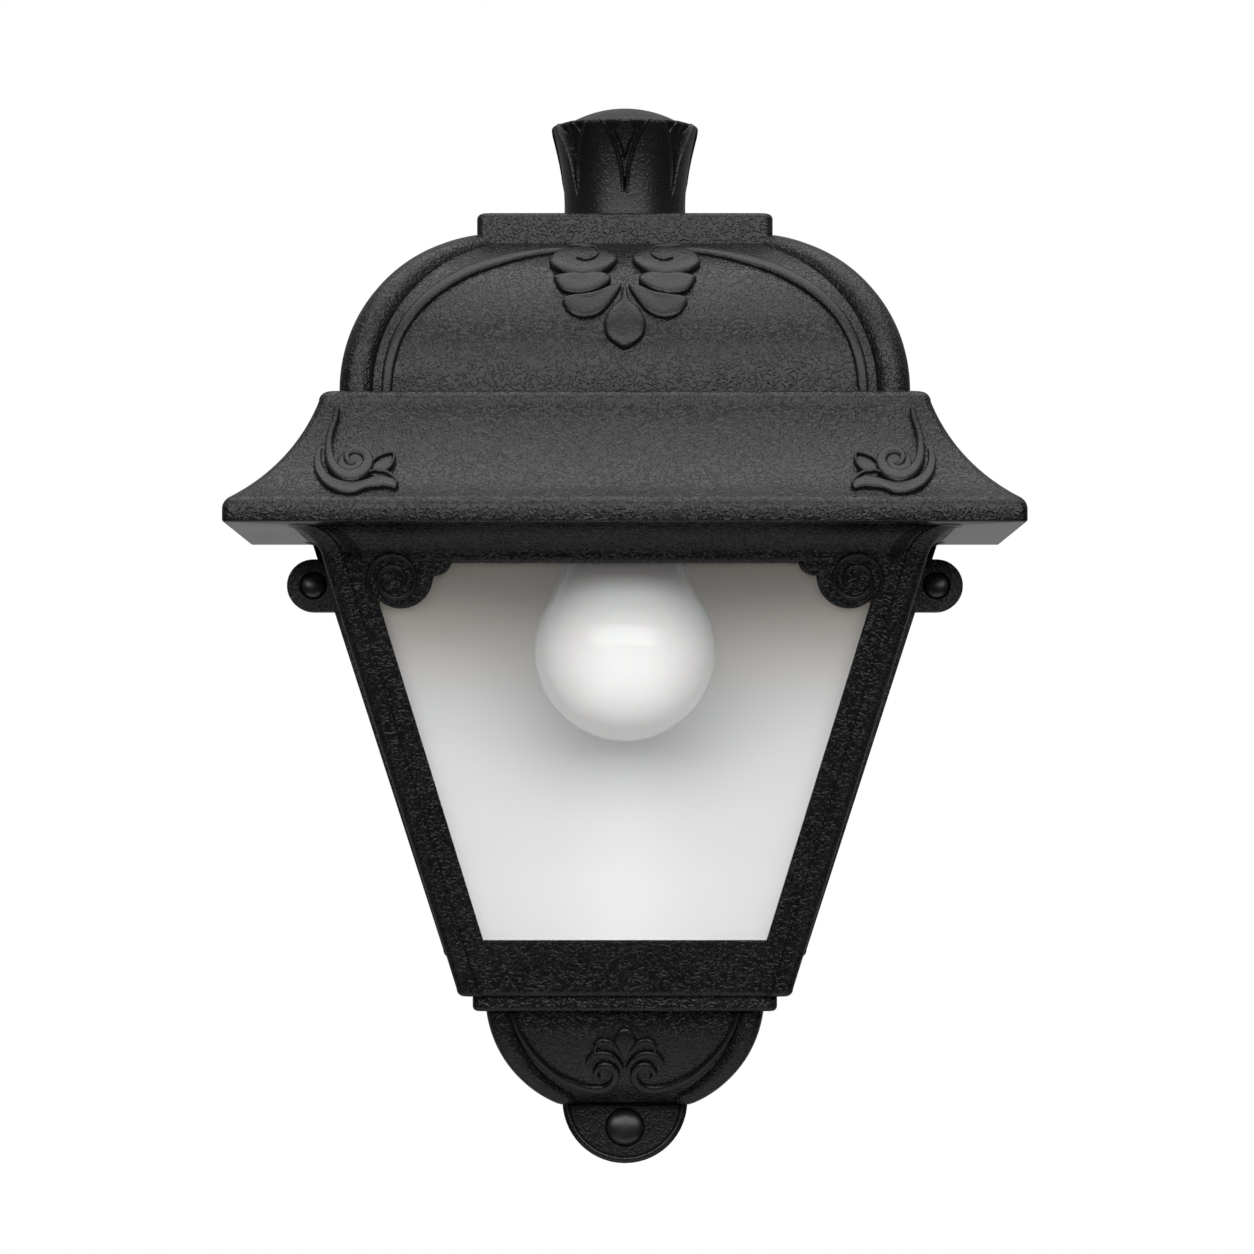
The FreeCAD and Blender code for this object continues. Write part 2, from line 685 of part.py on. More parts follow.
def roof_beads(skin):
    """Raised strips on the front and sides of the dome that follow the hip ribs."""
    cu, cv = dome_centre()
    strips = []
    for place in (upright, sideways):
        rings = []
        for off in (BEAD_OFF, BEAD_OFF + BEAD_STRIP_W):
            tall = DOME_R - 0.28 * off
            ellipse = Part.Ellipse(place(cu, cv + tall), place(cu + DOME_R - off, cv), place(cu, cv))
            rings.append(Part.Face(Part.Wire(ellipse.toShape())))
        band = rings[0].cut(rings[1])
        if place is upright:
            prism = band.extrude(vec(0, -FAR, 0))
            quarter = block(cu - 6, FAR, -FAR, -TOP_PLATE_W, LEDGE_Z - 1, TOP_PLATE_Z)
        else:
            prism = band.extrude(vec(FAR, 0, 0))
            quarter = block(TOP_PLATE_W, FAR, -FAR, -cu + 6, LEDGE_Z - 1, TOP_PLATE_Z)
        strips += both_sides(prism.common(quarter).common(skin))
    return strips


def dome_point(z):
    """Reach of the dome's panel at a height and the lean of its surface there."""
    cu, cv = dome_centre()
    return cu + math.sqrt(DOME_R ** 2 - (z - cv) ** 2), math.degrees(math.asin((z - cv) / DOME_R))


def palmette(skin):
    """Palmette on the front of the dome: two scrolls, four lobes and a drop."""
    scroll_z = TOP_PLATE_Z - PALMETTE_SCROLL_DROP
    leaf_z = TOP_PLATE_Z - PALMETTE_LEAF_DROP
    scrolls, leaves = [], [drop_face(0, 12.5, -12.0, 7.0)]
    for side in (1, -1):
        scrolls.append(volute_face(side * 13.0, 0, 10.6, 3.2, 3.0, 3, side))
        leaves.append(leaf_face((side * 3.0, 13.0), (side * 20.5, 2.0), side * -1.0, side * -7.5))
        leaves.append(leaf_face((side * 6.5, 16.0), (side * 23.5, 12.0), side * 0.5, side * -5.0))
    reach, lean = dome_point(scroll_z)
    raised = relief(scrolls, lean, 0, reach, scroll_z, skin)
    reach, lean = dome_point(leaf_z)
    return raised + relief(leaves, lean, 0, reach, leaf_z, skin)


def skirt_scrolls(skin):
    """Scroll with stem and two leaves at each front corner of the skirt."""
    z = SEAT_Z + SKIRT_SCROLL_Z
    cu, cv = skirt_centre()
    radius = math.dist((cu, cv), (SKIRT_TOP_W, LEDGE_Z - SHOULDER_R))
    reach = cu - math.sqrt(radius ** 2 - (z - cv) ** 2)
    lean = math.degrees(math.asin((cv - z) / radius))
    raised = []
    for side in (1, -1):
        faces = [volute_face(0, 0, 7.2, 2.2, 2.0, 3, -side),
                 leaf_face((side * 6.6, 1.0), (side * 5.0, 22.0), side * -2.6, side * -0.4),
                 leaf_face((-side * 7.0, 1.5), (-side * 13.5, 4.5), side * 3.0, side * -2.2),
                 leaf_face((-side * 4.5, -7.2), (-side * 15.5, -6.5), side * 2.2, side * -2.8),
                 leaf_face((side * 10.5, 4.0), (-side * 6.0, -11.5), side * 10.0, side * 7.2)]
        raised += relief(faces, lean, side * SKIRT_SCROLL_X, reach, z, skin)
    return raised


def roof():
    """Ribbed dome on a flared skirt, one moulding, open towards the wall and below."""
    filled = pavilion(roof_outline(), rear=-ROOF_BACK_GAP)
    skin = pavilion(roof_outline(-RELIEF_H), rear=-ROOF_BACK_GAP)
    rib = hip_rib((DOME_W, LEDGE_Z), (TOP_PLATE_W, TOP_PLATE_Z), DOME_R, RIB_SINK, RIB_R)
    solid = fused([filled] + both_sides(rib) + roof_beads(skin) + palmette(skin) + skirt_scrolls(skin))
    hollow = pavilion(roof_outline(ROOF_WALL), rear=FAR)
    mouth_w = cage_w(SEAT_Z) - CAGE_WALL + UPSTAND_T + cage_w(UPSTAND_H) - cage_w(0) + SEAT_FIT
    mouth = block(-mouth_w, mouth_w, -mouth_w, FAR, SEAT_Z - 1, SEAT_Z + ROOF_WALL + 1)
    stud_hole = rod(0, FINIAL_Y, TOP_PLATE_Z, STUD_R + STUD_FIT, FAR, UP)
    return solid.cut(fused([hollow, mouth])).cut(stud_hole)


def lamp_bracket():
    """Bent steel strip that carries the lamp holder and the roof stud."""
    x = BRACKET_W / 2
    front = LAMP_Y - BRACKET_TOE
    leg = block(-x, x, -PLATE_T - BRACKET_T, -PLATE_T, ARM_Z + BRACKET_T - BRACKET_LEG, ARM_Z + BRACKET_T)
    arm = block(-x, x, front, -PLATE_T, ARM_Z, ARM_Z + BRACKET_T)
    strip = fused([leg, arm])
    for y, radius in ((LAMP_Y, NIPPLE_R), (FINIAL_Y, STUD_R)):
        strip = strip.cut(rod(0, y, ARM_Z - 1, radius + SCREW_FIT, BRACKET_T + 2, UP))
    for z in bracket_screw_levels():
        strip = strip.cut(rod(0, 0, z, BRACKET_SCREW_R + SCREW_FIT, FAR))
    return strip


def bracket_screw_levels():
    """Heights of the two screws that hold the bracket's leg."""
    middle = ARM_Z - BRACKET_LEG / 2
    return [middle - BRACKET_SCREW_PITCH / 2, middle + BRACKET_SCREW_PITCH / 2]


def bracket_screws():
    """Two screws from behind the wall plate with nuts on the bracket's leg."""
    screws = []
    for z in bracket_screw_levels():
        head = rod(0, -SCREW_HEAD_T - SCREW_FIT, z, BRACKET_HEAD_R, SCREW_HEAD_T, vec(0, 1, 0))
        shank = rod(0, -SCREW_HEAD_T, z, BRACKET_SCREW_R, PLATE_T + BRACKET_T + BRACKET_NUT_T)
        screws.append(fused([head, shank]))
    return Part.makeCompound(screws)


def bracket_nuts():
    """Two hexagon nuts on the bracket screws."""
    nuts = []
    for z in bracket_screw_levels():
        nut = hex_prism(BRACKET_NUT_AF, BRACKET_NUT_T, 0, 0, 0)
        nut = nut.cut(rod(0, 0, -1, BRACKET_SCREW_R + SCREW_FIT / 2, FAR, UP))
        nut.rotate(vec(0, 0, 0), vec(1, 0, 0), 90)
        nut.translate(vec(0, -PLATE_T - BRACKET_T, z))
        nuts.append(nut)
    return Part.makeCompound(nuts)


def bulb():
    """Frosted lamp with its screw cap, hanging head down."""
    centre_z = BULB_FOOT_Z + BULB_R
    lean = math.radians(30)
    cheek = (BULB_R * math.cos(lean), centre_z + BULB_R * math.sin(lean))
    cap_z = CONTACT_Z - BULB_CAP_H
    outline = [(0, BULB_FOOT_Z, 0), (BULB_R, centre_z, BULB_R * 1.000001), (cheek[0], cheek[1], BULB_R),
               (BULB_COLLAR_R, cap_z - 4, -BULB_NECK_R), (BULB_COLLAR_R, cap_z, 0), (BULB_CAP_R, cap_z, 0),
               (BULB_CAP_R, CONTACT_Z - 6, 0), (CONTACT_R, CONTACT_Z - 2, 0), (CONTACT_R, CONTACT_Z, 0),
               (0, CONTACT_Z, 0)]
    return turned(outline, 0, LAMP_Y)


def thread_shell():
    """Metal sleeve that takes the lamp's cap."""
    inner = BULB_CAP_R + THREAD_GAP
    foot = CONTACT_Z - THREAD_SHELL_H
    sleeve = rod(0, LAMP_Y, foot, inner + THREAD_SHELL_T, THREAD_SHELL_H, UP)
    return sleeve.cut(rod(0, LAMP_Y, foot - 1, inner, THREAD_SHELL_H + 2, UP))


def lampholder_base():
    """Insulating core behind the sleeve, with a seat for the spring contact and ways for the wires."""
    foot = CONTACT_Z - THREAD_SHELL_H
    sleeve_r = BULB_CAP_R + THREAD_GAP + THREAD_SHELL_T
    top = ARM_Z - HOLDER_WALL
    shoulder = ARM_Z - HOLDER_ROUND - SCREW_FIT
    crown_r = HOLDER_R - HOLDER_ROUND
    core = turned([(0, foot, 0), (BASE_R, foot, 0), (BASE_R, shoulder, 0),
                   (crown_r, shoulder, 0), (crown_r, top, 0), (0, top, 0)], 0, LAMP_Y)
    core = core.cut(rod(0, LAMP_Y, foot - 1, sleeve_r, THREAD_SHELL_H + 1, UP))
    core = core.cut(rod(0, LAMP_Y, CONTACT_Z - 1, CONTACT_R + 4, 3, UP))
    for x, y in wire_starts():
        core = core.cut(rod(x, y, top - 6, WIRE_R + SCREW_FIT, 10, UP))
    return core


def centre_contact():
    """Spring contact above the tip of the lamp's cap."""
    half = CONTACT_R + BLADE_OVERHANG
    foot = CONTACT_Z + SCREW_FIT
    blade = block(-BLADE_W / 2, BLADE_W / 2, LAMP_Y - half, LAMP_Y + half,
                  foot + CONTACT_TIP_H, foot + CONTACT_TIP_H + BLADE_T)
    return fused([blade, rod(0, LAMP_Y, foot, CONTACT_TIP_R, CONTACT_TIP_H + BLADE_T / 2, UP)])


def lampholder_shell():
    """Outer shell of the lamp holder with a shoulder and a hole for the nipple."""
    foot = CONTACT_Z - THREAD_SHELL_H - HOLDER_SKIRT
    inner = HOLDER_R - HOLDER_WALL
    shoulder = ARM_Z - HOLDER_ROUND
    crown_r = HOLDER_R - HOLDER_ROUND
    outer = [(0, foot, 0), (HOLDER_R, foot, 0), (HOLDER_R, shoulder, 0),
             (crown_r, ARM_Z, HOLDER_ROUND), (0, ARM_Z, 0)]
    hollow = [(0, foot - 1, 0), (inner, foot - 1, 0), (inner, shoulder, 0),
              (crown_r, ARM_Z - HOLDER_WALL, HOLDER_ROUND - HOLDER_WALL), (0, ARM_Z - HOLDER_WALL, 0)]
    shell = turned(outer, 0, LAMP_Y).cut(turned(hollow, 0, LAMP_Y))
    return shell.cut(rod(0, LAMP_Y, ARM_Z - 10, NIPPLE_R + SCREW_FIT, 20, UP))


def holder_nipple():
    """Threaded tube that hangs the lamp holder from the bracket and takes its wires."""
    foot = ARM_Z - HOLDER_WALL
    length = HOLDER_WALL + BRACKET_T + NIPPLE_NUT_T + 2.0
    tube = rod(0, LAMP_Y, foot, NIPPLE_R, length, UP)
    return tube.cut(rod(0, LAMP_Y, foot - 1, NIPPLE_BORE_R, length + 2, UP))


def holder_nut():
    """Hexagon nut on the nipple, above the bracket."""
    nut = hex_prism(NIPPLE_NUT_AF, NIPPLE_NUT_T, 0, LAMP_Y, ARM_Z + BRACKET_T)
    return nut.cut(rod(0, LAMP_Y, ARM_Z, NIPPLE_R + SCREW_FIT / 2, 20, UP))


def roof_stud():
    """Threaded rod riveted into the bracket and running up into the finial."""
    return rod(0, FINIAL_Y, ARM_Z, STUD_R, ROOF_TOP_Z + WASHER_T + INSERT_H - ARM_Z, UP)


def stud_nut():
    """Hexagon nut that locks the stud on top of the bracket."""
    z = ARM_Z + BRACKET_T
    nut = hex_prism(STUD_NUT_AF, STUD_NUT_T, 0, FINIAL_Y, z)
    return nut.cut(rod(0, FINIAL_Y, z - 1, STUD_R + SCREW_FIT / 2, STUD_NUT_T + 2, UP))


def finial_profile(inset, crown):
    """Half outline of the finial's flared side, moved in by an inset, with a domed or flat top."""
    rim_r = FINIAL_RIM_R - inset
    side = [(0, ROOF_TOP_Z, 0), (FINIAL_BASE_R - inset, ROOF_TOP_Z, 0),
            (rim_r, RIM_Z - FINIAL_LIP, -FINIAL_FLARE_R), (rim_r - FINIAL_LIP, RIM_Z, FINIAL_LIP)]
    if not crown:
        return side + [(0, RIM_Z, 0)]
    bulge = (FINIAL_CROWN_R ** 2 + FINIAL_CROWN_H ** 2) / (2 * FINIAL_CROWN_H)
    return side + [(FINIAL_CROWN_R - inset, RIM_Z, 0), (0, RIM_Z + FINIAL_CROWN_H, bulge)]


def finial():
    """Round knob with petals that screws down on the roof, hollow from below."""
    petals = turned(finial_profile(0, False))
    bud = turned(finial_profile(PETAL_T, True))
    notch = [(0, RIM_Z - PETAL_NOTCH_H, 0), (PETAL_NOTCH_W / 2, RIM_Z + PETAL_T, -PETAL_EDGE_R),
             (-PETAL_NOTCH_W / 2, RIM_Z + PETAL_T, 0), (0, RIM_Z - PETAL_NOTCH_H, -PETAL_EDGE_R)]
    for i in range(PETALS):
        cutter = along_y(notch, -FAR, -FINIAL_BASE_R / 2)
        cutter.rotate(vec(0, 0, 0), UP, i * 360.0 / PETALS)
        petals = petals.cut(cutter)
    knob = fused([bud, petals])
    inner_r = FINIAL_BASE_R - PETAL_T - FINIAL_WALL
    hollow = rod(0, 0, ROOF_TOP_Z - 1, inner_r, FINIAL_H - FINIAL_WALL + 1, UP)
    post_foot = ROOF_TOP_Z + WASHER_T
    post = rod(0, 0, post_foot, INSERT_R + FINIAL_WALL, FINIAL_H, UP)
    pocket = rod(0, 0, post_foot - 1, INSERT_R + SCREW_FIT / 2, INSERT_H + 1, UP)
    stud_room = rod(0, 0, post_foot, STUD_R + STUD_FIT, INSERT_H + 3, UP)
    knob = fused([knob.cut(hollow), post.common(bud)]).cut(pocket).cut(stud_room)
    knob.translate(vec(0, FINIAL_Y, 0))
    return knob


def finial_insert():
    """Threaded metal insert pressed into the finial."""
    z = ROOF_TOP_Z + WASHER_T
    insert = rod(0, FINIAL_Y, z, INSERT_R, INSERT_H, UP)
    return insert.cut(rod(0, FINIAL_Y, z - 1, STUD_R + STUD_FIT, INSERT_H + 2, UP))


def finial_washer():
    """Rubber washer between the finial's insert and the roof."""
    washer = rod(0, FINIAL_Y, ROOF_TOP_Z, WASHER_R, WASHER_T, UP)
    return washer.cut(rod(0, FINIAL_Y, ROOF_TOP_Z - 1, STUD_R + STUD_FIT, WASHER_T + 2, UP))


def terminal_block():
    """Two-pole block on the tongue with wire ways from above and clamp screws in front."""
    x0, x1 = BLOCK_X - BLOCK_W / 2, BLOCK_X + BLOCK_W / 2
    z0 = SEAT_Z + BLOCK_RISE
    z1 = z0 + BLOCK_H
    body = block(x0, x1, -PLATE_T - BLOCK_D, -PLATE_T, z0, z1)
    waist = rod(BLOCK_X, -PLATE_T - 4, (z0 + z1) / 2, 3.2, FAR)
    body = body.cut(waist).cut(rod(BLOCK_X, 0, (z0 + z1) / 2, SCREW_R + SCREW_FIT, FAR))
    for x, y in wire_ends():
        body = body.cut(rod(x, y, z0 - 1, WIRE_R + 0.3, BLOCK_H + 2, UP))
        for z in clamp_levels():
            body = body.cut(rod(x, y, z, CLAMP_SCREW_R + SCREW_FIT, FAR))
    return body


def clamp_levels():
    """Heights of the upper and lower clamp screws in the terminal block."""
    z0 = SEAT_Z + BLOCK_RISE
    return [z0 + BLOCK_H * 0.22, z0 + BLOCK_H * 0.78]


def terminal_screws():
    """Slotted clamp screws in the terminal block."""
    screws = []
    front = -PLATE_T - BLOCK_D + 1.0
    for x, y in wire_ends():
        for z in clamp_levels():
            screw = rod(x, y - WIRE_R - SCREW_FIT, z, CLAMP_SCREW_R, y - WIRE_R - front)
            slot = block(x - FAR, x + FAR, front - 1, front + 0.8, z - 0.35, z + 0.35)
            screws.append(screw.cut(slot))
    return Part.makeCompound(screws)


def terminal_fixing_screw():
    """Screw through the middle of the terminal block into the wall plate."""
    z = SEAT_Z + BLOCK_RISE + BLOCK_H / 2
    head = rod(BLOCK_X, -PLATE_T - 4, z, SCREW_HEAD_R, SCREW_HEAD_T)
    return fused([head, rod(BLOCK_X, -1.0, z, SCREW_R, PLATE_T + 4)])


def wire_starts():
    """Plan positions of the two wires where they leave the lamp holder."""
    return [(-WIRE_SPREAD, LAMP_Y - 1.0), (WIRE_SPREAD, LAMP_Y + 1.0)]


def wire_ends():
    """Plan positions of the two wires where they enter the terminal block."""
    y = -PLATE_T - BLOCK_D * 0.55
    return [(BLOCK_X - POLE_PITCH / 2, y), (BLOCK_X + POLE_PITCH / 2, y)]


def lead(index):
    """Insulated wire: up through the nipple, across and down into the terminal block."""
    (x0, y0), (x1, y1) = wire_starts()[index], wire_ends()[index]
    span = math.hypot(x1 - x0, y1 - y0)
    peak = ARM_Z + BRACKET_T + NIPPLE_NUT_T + WIRE_PEAK
    foot = ARM_Z - HOLDER_WALL - 5
    clamp = clamp_levels()[1] - 2
    route = [(0, foot, 0),
             (0, peak - WIRE_BEND, 0),
             (WIRE_BEND, peak, -WIRE_BEND),
             (span - WIRE_BEND, peak, 0),
             (span, peak - WIRE_BEND, -WIRE_BEND),
             (span, clamp, 0)]

    def place(u, v):
        return vec(x0 + (x1 - x0) * u / span, y0 + (y1 - y0) * u / span, v)

    path = Part.Wire(outline_edges(route, place))
    section = Part.Wire(Part.makeCircle(WIRE_R, place(0, foot), UP))
    return path.makePipeShell([section], True, True)


def cable_grommet():
    """Rubber sleeve in the wall plate for the supply cable."""
    z = SEAT_Z + GROMMET_RISE
    length = PLATE_T + GROMMET_LIP_T
    sleeve = [rod(GROMMET_X, 0, z, GROMMET_LIP_R, GROMMET_LIP_T - 0.1),
              rod(GROMMET_X, 0, z, GROMMET_NECK_R - 0.1, length),
              rod(GROMMET_X, -PLATE_T, z, GROMMET_LIP_R, GROMMET_LIP_T)]
    return fused(sleeve).cut(rod(GROMMET_X, 1, z, GROMMET_BORE_R, FAR))


def screw_cap(index):
    """Domed cap over a wall screw, with a base ring that fits the ear's recess."""
    x, z = FIXINGS[index]
    recess = (UPPER_RECESS_R, UPPER_RECESS_R, LOWER_RECESS_R)[index]
    dome_r = recess - CAP_GAP
    height = EAR_T - EAR_SEAT_T + CAP_PROUD
    wall_h = height - dome_r * 0.45
    bulge = (dome_r ** 2 + (height - wall_h) ** 2) / (2 * (height - wall_h))
    base = recess - CAP_FIT
    cavity = max(dome_r - CAP_WALL, FIXING_HOLE_R + 0.2)
    outline = [(0, 0, 0), (base, 0, 0), (base, CAP_BASE_T, 0), (dome_r, CAP_BASE_T, 0), (dome_r, wall_h, 0),
               (0, height, bulge)]
    cap = turned(outline).cut(rod(0, 0, -1, cavity, wall_h + 0.5, UP))
    cap.rotate(vec(0, 0, 0), vec(1, 0, 0), 90)
    cap.translate(vec(x, -EAR_SEAT_T, z))
    return cap


NODES = {
    "wall_plate": wall_plate,
    "body_frame": body_frame,
    "body_screws": body_screws,
    "reflector": reflector,
    "diffuser": diffuser,
    "roof": roof,
    "lamp_bracket": lamp_bracket,
    "bracket_screws": bracket_screws,
    "bracket_nuts": bracket_nuts,
    "bulb": bulb,
    "thread_shell": thread_shell,
    "lampholder_base": lampholder_base,
    "centre_contact": centre_contact,
    "lampholder_shell": lampholder_shell,
    "holder_nipple": holder_nipple,
    "holder_nut": holder_nut,
    "roof_stud": roof_stud,
    "stud_nut": stud_nut,
    "finial": finial,
    "finial_insert": finial_insert,
    "finial_washer": finial_washer,
    "terminal_block": terminal_block,
    "terminal_screws": terminal_screws,
    "terminal_fixing_screw": terminal_fixing_screw,
    "live_wire": lambda: lead(0),
    "neutral_wire": lambda: lead(1),
    "cable_grommet": cable_grommet,
    "screw_cap_right": lambda: screw_cap(0),
    "screw_cap_left": lambda: screw_cap(1),
    "screw_cap_lower": lambda: screw_cap(2),
}

os.makedirs("parts", exist_ok=True)
for name, make in NODES.items():
    make().exportStep("parts/" + name + ".step")
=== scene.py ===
"""Dresses a half lantern for a wall: roof, cage, finial, lamp, screw caps and finishes, in millimetres."""
import logging
import math
from dataclasses import dataclass
from enum import Enum
from typing import Iterable, Optional, Sequence, Union

import bmesh
import bpy
import numpy as np
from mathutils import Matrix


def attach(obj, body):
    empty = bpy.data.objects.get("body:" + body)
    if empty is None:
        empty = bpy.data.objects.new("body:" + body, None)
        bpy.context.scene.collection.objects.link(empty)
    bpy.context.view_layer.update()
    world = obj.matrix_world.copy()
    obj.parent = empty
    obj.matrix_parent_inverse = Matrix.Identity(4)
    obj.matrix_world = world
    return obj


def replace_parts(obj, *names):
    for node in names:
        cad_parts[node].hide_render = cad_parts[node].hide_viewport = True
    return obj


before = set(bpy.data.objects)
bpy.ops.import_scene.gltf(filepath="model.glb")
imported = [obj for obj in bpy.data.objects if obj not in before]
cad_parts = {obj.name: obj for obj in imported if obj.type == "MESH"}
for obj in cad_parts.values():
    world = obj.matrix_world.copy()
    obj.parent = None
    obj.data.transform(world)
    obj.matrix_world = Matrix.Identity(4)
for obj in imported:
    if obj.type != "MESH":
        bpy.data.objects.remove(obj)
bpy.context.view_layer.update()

LOG = logging.getLogger("lantern")
MM = 0.001
SINK = 0.8
Array = np.ndarray
Piece = bpy.types.Object
Finish = bpy.types.Material
Track = Sequence[Sequence[float]]
Colour = tuple[float, float, float]
Circle = tuple[float, float, float]
CALM_PIECES = ("roof_palmette", "roof_scrolls", "roof_beads", "cage_curls", "cup_ornament", "ear_rim",
               "finial_knob")


class Face(Enum):
    """The sides of the half square plan that carry ornament."""

    FRONT = "front"
    RIGHT = "right"
    LEFT = "left"


class Body(Enum):
    """The moving bodies of the frame that new pieces ride on."""

    LANTERN = "lantern"
    ROOF = "roof"
    FINIAL = "finial"
    BULB = "bulb"
    CAP_RIGHT = "cap_right"
    CAP_LEFT = "cap_left"
    CAP_LOWER = "cap_lower"


class Slot(Enum):
    """Names of the record's material slots, passed to the pieces' builds."""

    RESIN = "black_resin"
    OPAL = "opal_bulb"
    STEEL = "plated_steel"


def arc(centre: Sequence[float], radius: float, start: float, end: float, steps: int) -> Array:
    """Points on a circle: centre plus radius times the cosine and sine of evenly spaced angles.

    Args:
        centre: The circle's centre.
        radius: The circle's radius.
        start: First angle in degrees.
        end: Last angle in degrees.
        steps: Number of points.

    Returns:
        Array of shape (steps, 2).
    """
    angle = np.radians(np.linspace(start, end, steps))
    return np.stack([centre[0] + radius * np.cos(angle), centre[1] + radius * np.sin(angle)], axis=1)


def bearing(centre: Sequence[float], point: Sequence[float]) -> float:
    """Angle in degrees of a point seen from a centre."""
    return math.degrees(math.atan2(point[1] - centre[1], point[0] - centre[0]))


def bow(start: Sequence[float], end: Sequence[float], radius: float, steps: int) -> Array:
    """Arc of a given radius from one point to another, with its centre on the right of the way there.

    Args:
        start: First point.
        end: Last point.
        radius: Radius of the arc, at least half the chord.
        steps: Number of points.

    Returns:
        Array of shape (steps, 2).
    """
    chord = math.dist(start, end)
    rise = math.sqrt(radius ** 2 - chord ** 2 / 4) / chord
    centre = ((start[0] + end[0]) / 2 + (end[1] - start[1]) * rise,
              (start[1] + end[1]) / 2 - (end[0] - start[0]) * rise)
    return arc(centre, radius, bearing(centre, start) % 360, bearing(centre, end) % 360, steps)


def smooth(points: Track, steps: int, closed: bool = False) -> Array:
    """Spline through points: on each span the cubic whose end slopes are half the gap between neighbours.

    Args:
        points: The points that the spline passes through, with any number of columns.
        steps: Number of points to return.
        closed: Whether the last point leads back to the first.

    Returns:
        Array of shape (steps, columns).
    """
    knots = np.asarray(points, float)
    if closed:
        padded = np.concatenate([knots[-1:], knots, knots[:2]])
        place = np.linspace(0, len(knots), steps, endpoint=False)
    else:
        padded = np.concatenate([2 * knots[:1] - knots[1:2], knots, 2 * knots[-1:] - knots[-2:-1]])
        place = np.linspace(0, len(knots) - 1, steps)
    span = np.minimum(place.astype(int), len(padded) - 4)
    t = (place - span)[:, None]
    before, first, second, after = (padded[span + k] for k in range(4))
    slope, next_slope = (second - before) / 2, (after - first) / 2
    ease = t * t * (3 - 2 * t)
    return (first + (second - first) * ease
            + slope * t * (1 - t) ** 2 - next_slope * t * t * (1 - t))


def mirrored(track: Track) -> Array:
    """A track or outline on the other side of the middle."""
    other = np.array(track, float)
    other[:, 0] *= -1
    return other


def both(track: Track) -> list[Array]:
    """A track and its mirror image."""
    return [np.array(track, float), mirrored(track)]


def whole(half: Track) -> Array:
    """Closed outline from a half that starts and ends on the middle."""
    return np.concatenate([half, mirrored(half)[-2:0:-1]])


@dataclass(frozen=True)
class ArcGround:
    """Surface whose reach from the wall follows a circle over height."""

    centre_w: float
    centre_z: float
    radius: float
    hollow: bool = False

    def reach(self, z: Array) -> Array:
        """Centre plus, or for a hollow minus, the root of the radius squared less the height squared."""
        root = np.sqrt(np.maximum(self.radius ** 2 - (z - self.centre_z) ** 2, 1e-6))
        return self.centre_w - root if self.hollow else self.centre_w + root

    def normal(self, z: Array) -> tuple[Array, Array]:
        """Outward and upward parts of the surface's normal at a height."""
        sine = np.clip((z - self.centre_z) / self.radius, -1, 1)
        return np.sqrt(1 - sine ** 2), -sine if self.hollow else sine


@dataclass(frozen=True)
class PlaneGround:
    """Flat side that leans outwards by a slope, with its reach given at one height."""

    level: float
    width: float
    slope: float

    def reach(self, z: Array) -> Array:
        """Reach at a height along the slope."""
        return self.width + (np.asarray(z, float) - self.level) * self.slope

    def normal(self, z: Array) -> tuple[Array, Array]:
        """Outward and upward parts of the surface's normal."""
        length = math.hypot(1.0, self.slope)
        return np.full_like(z, 1 / length), np.full_like(z, -self.slope / length)


Ground = Union[ArcGround, PlaneGround]


def lay(ground: Ground, face: Face, along: Array, z: Array, lift: Array) -> Array:
    """Points on a side of the lantern: the surface point at a height, moved along the normal by a lift.

    Args:
        ground: The surface.
        face: The side that it belongs to.
        along: Distance along the side, from the middle on the front and from the wall on the others.
        z: Height.
        lift: Height above the surface.

    Returns:
        Array of points with a last axis of three.
    """
    out, up = ground.normal(z)
    reach = ground.reach(z) + lift * out
    level = z + lift * up
    if face is Face.FRONT:
        return np.stack([along, -reach, level], axis=-1)
    side = reach if face is Face.RIGHT else -reach
    return np.stack([side, -along, level], axis=-1)


def quads(index: Array) -> list[list[int]]:
    """Four-sided faces between the neighbours in a grid of point numbers."""
    corners = [index[:-1, :-1], index[:-1, 1:], index[1:, 1:], index[1:, :-1]]
    return np.stack(corners, axis=-1).reshape(-1, 4).tolist()


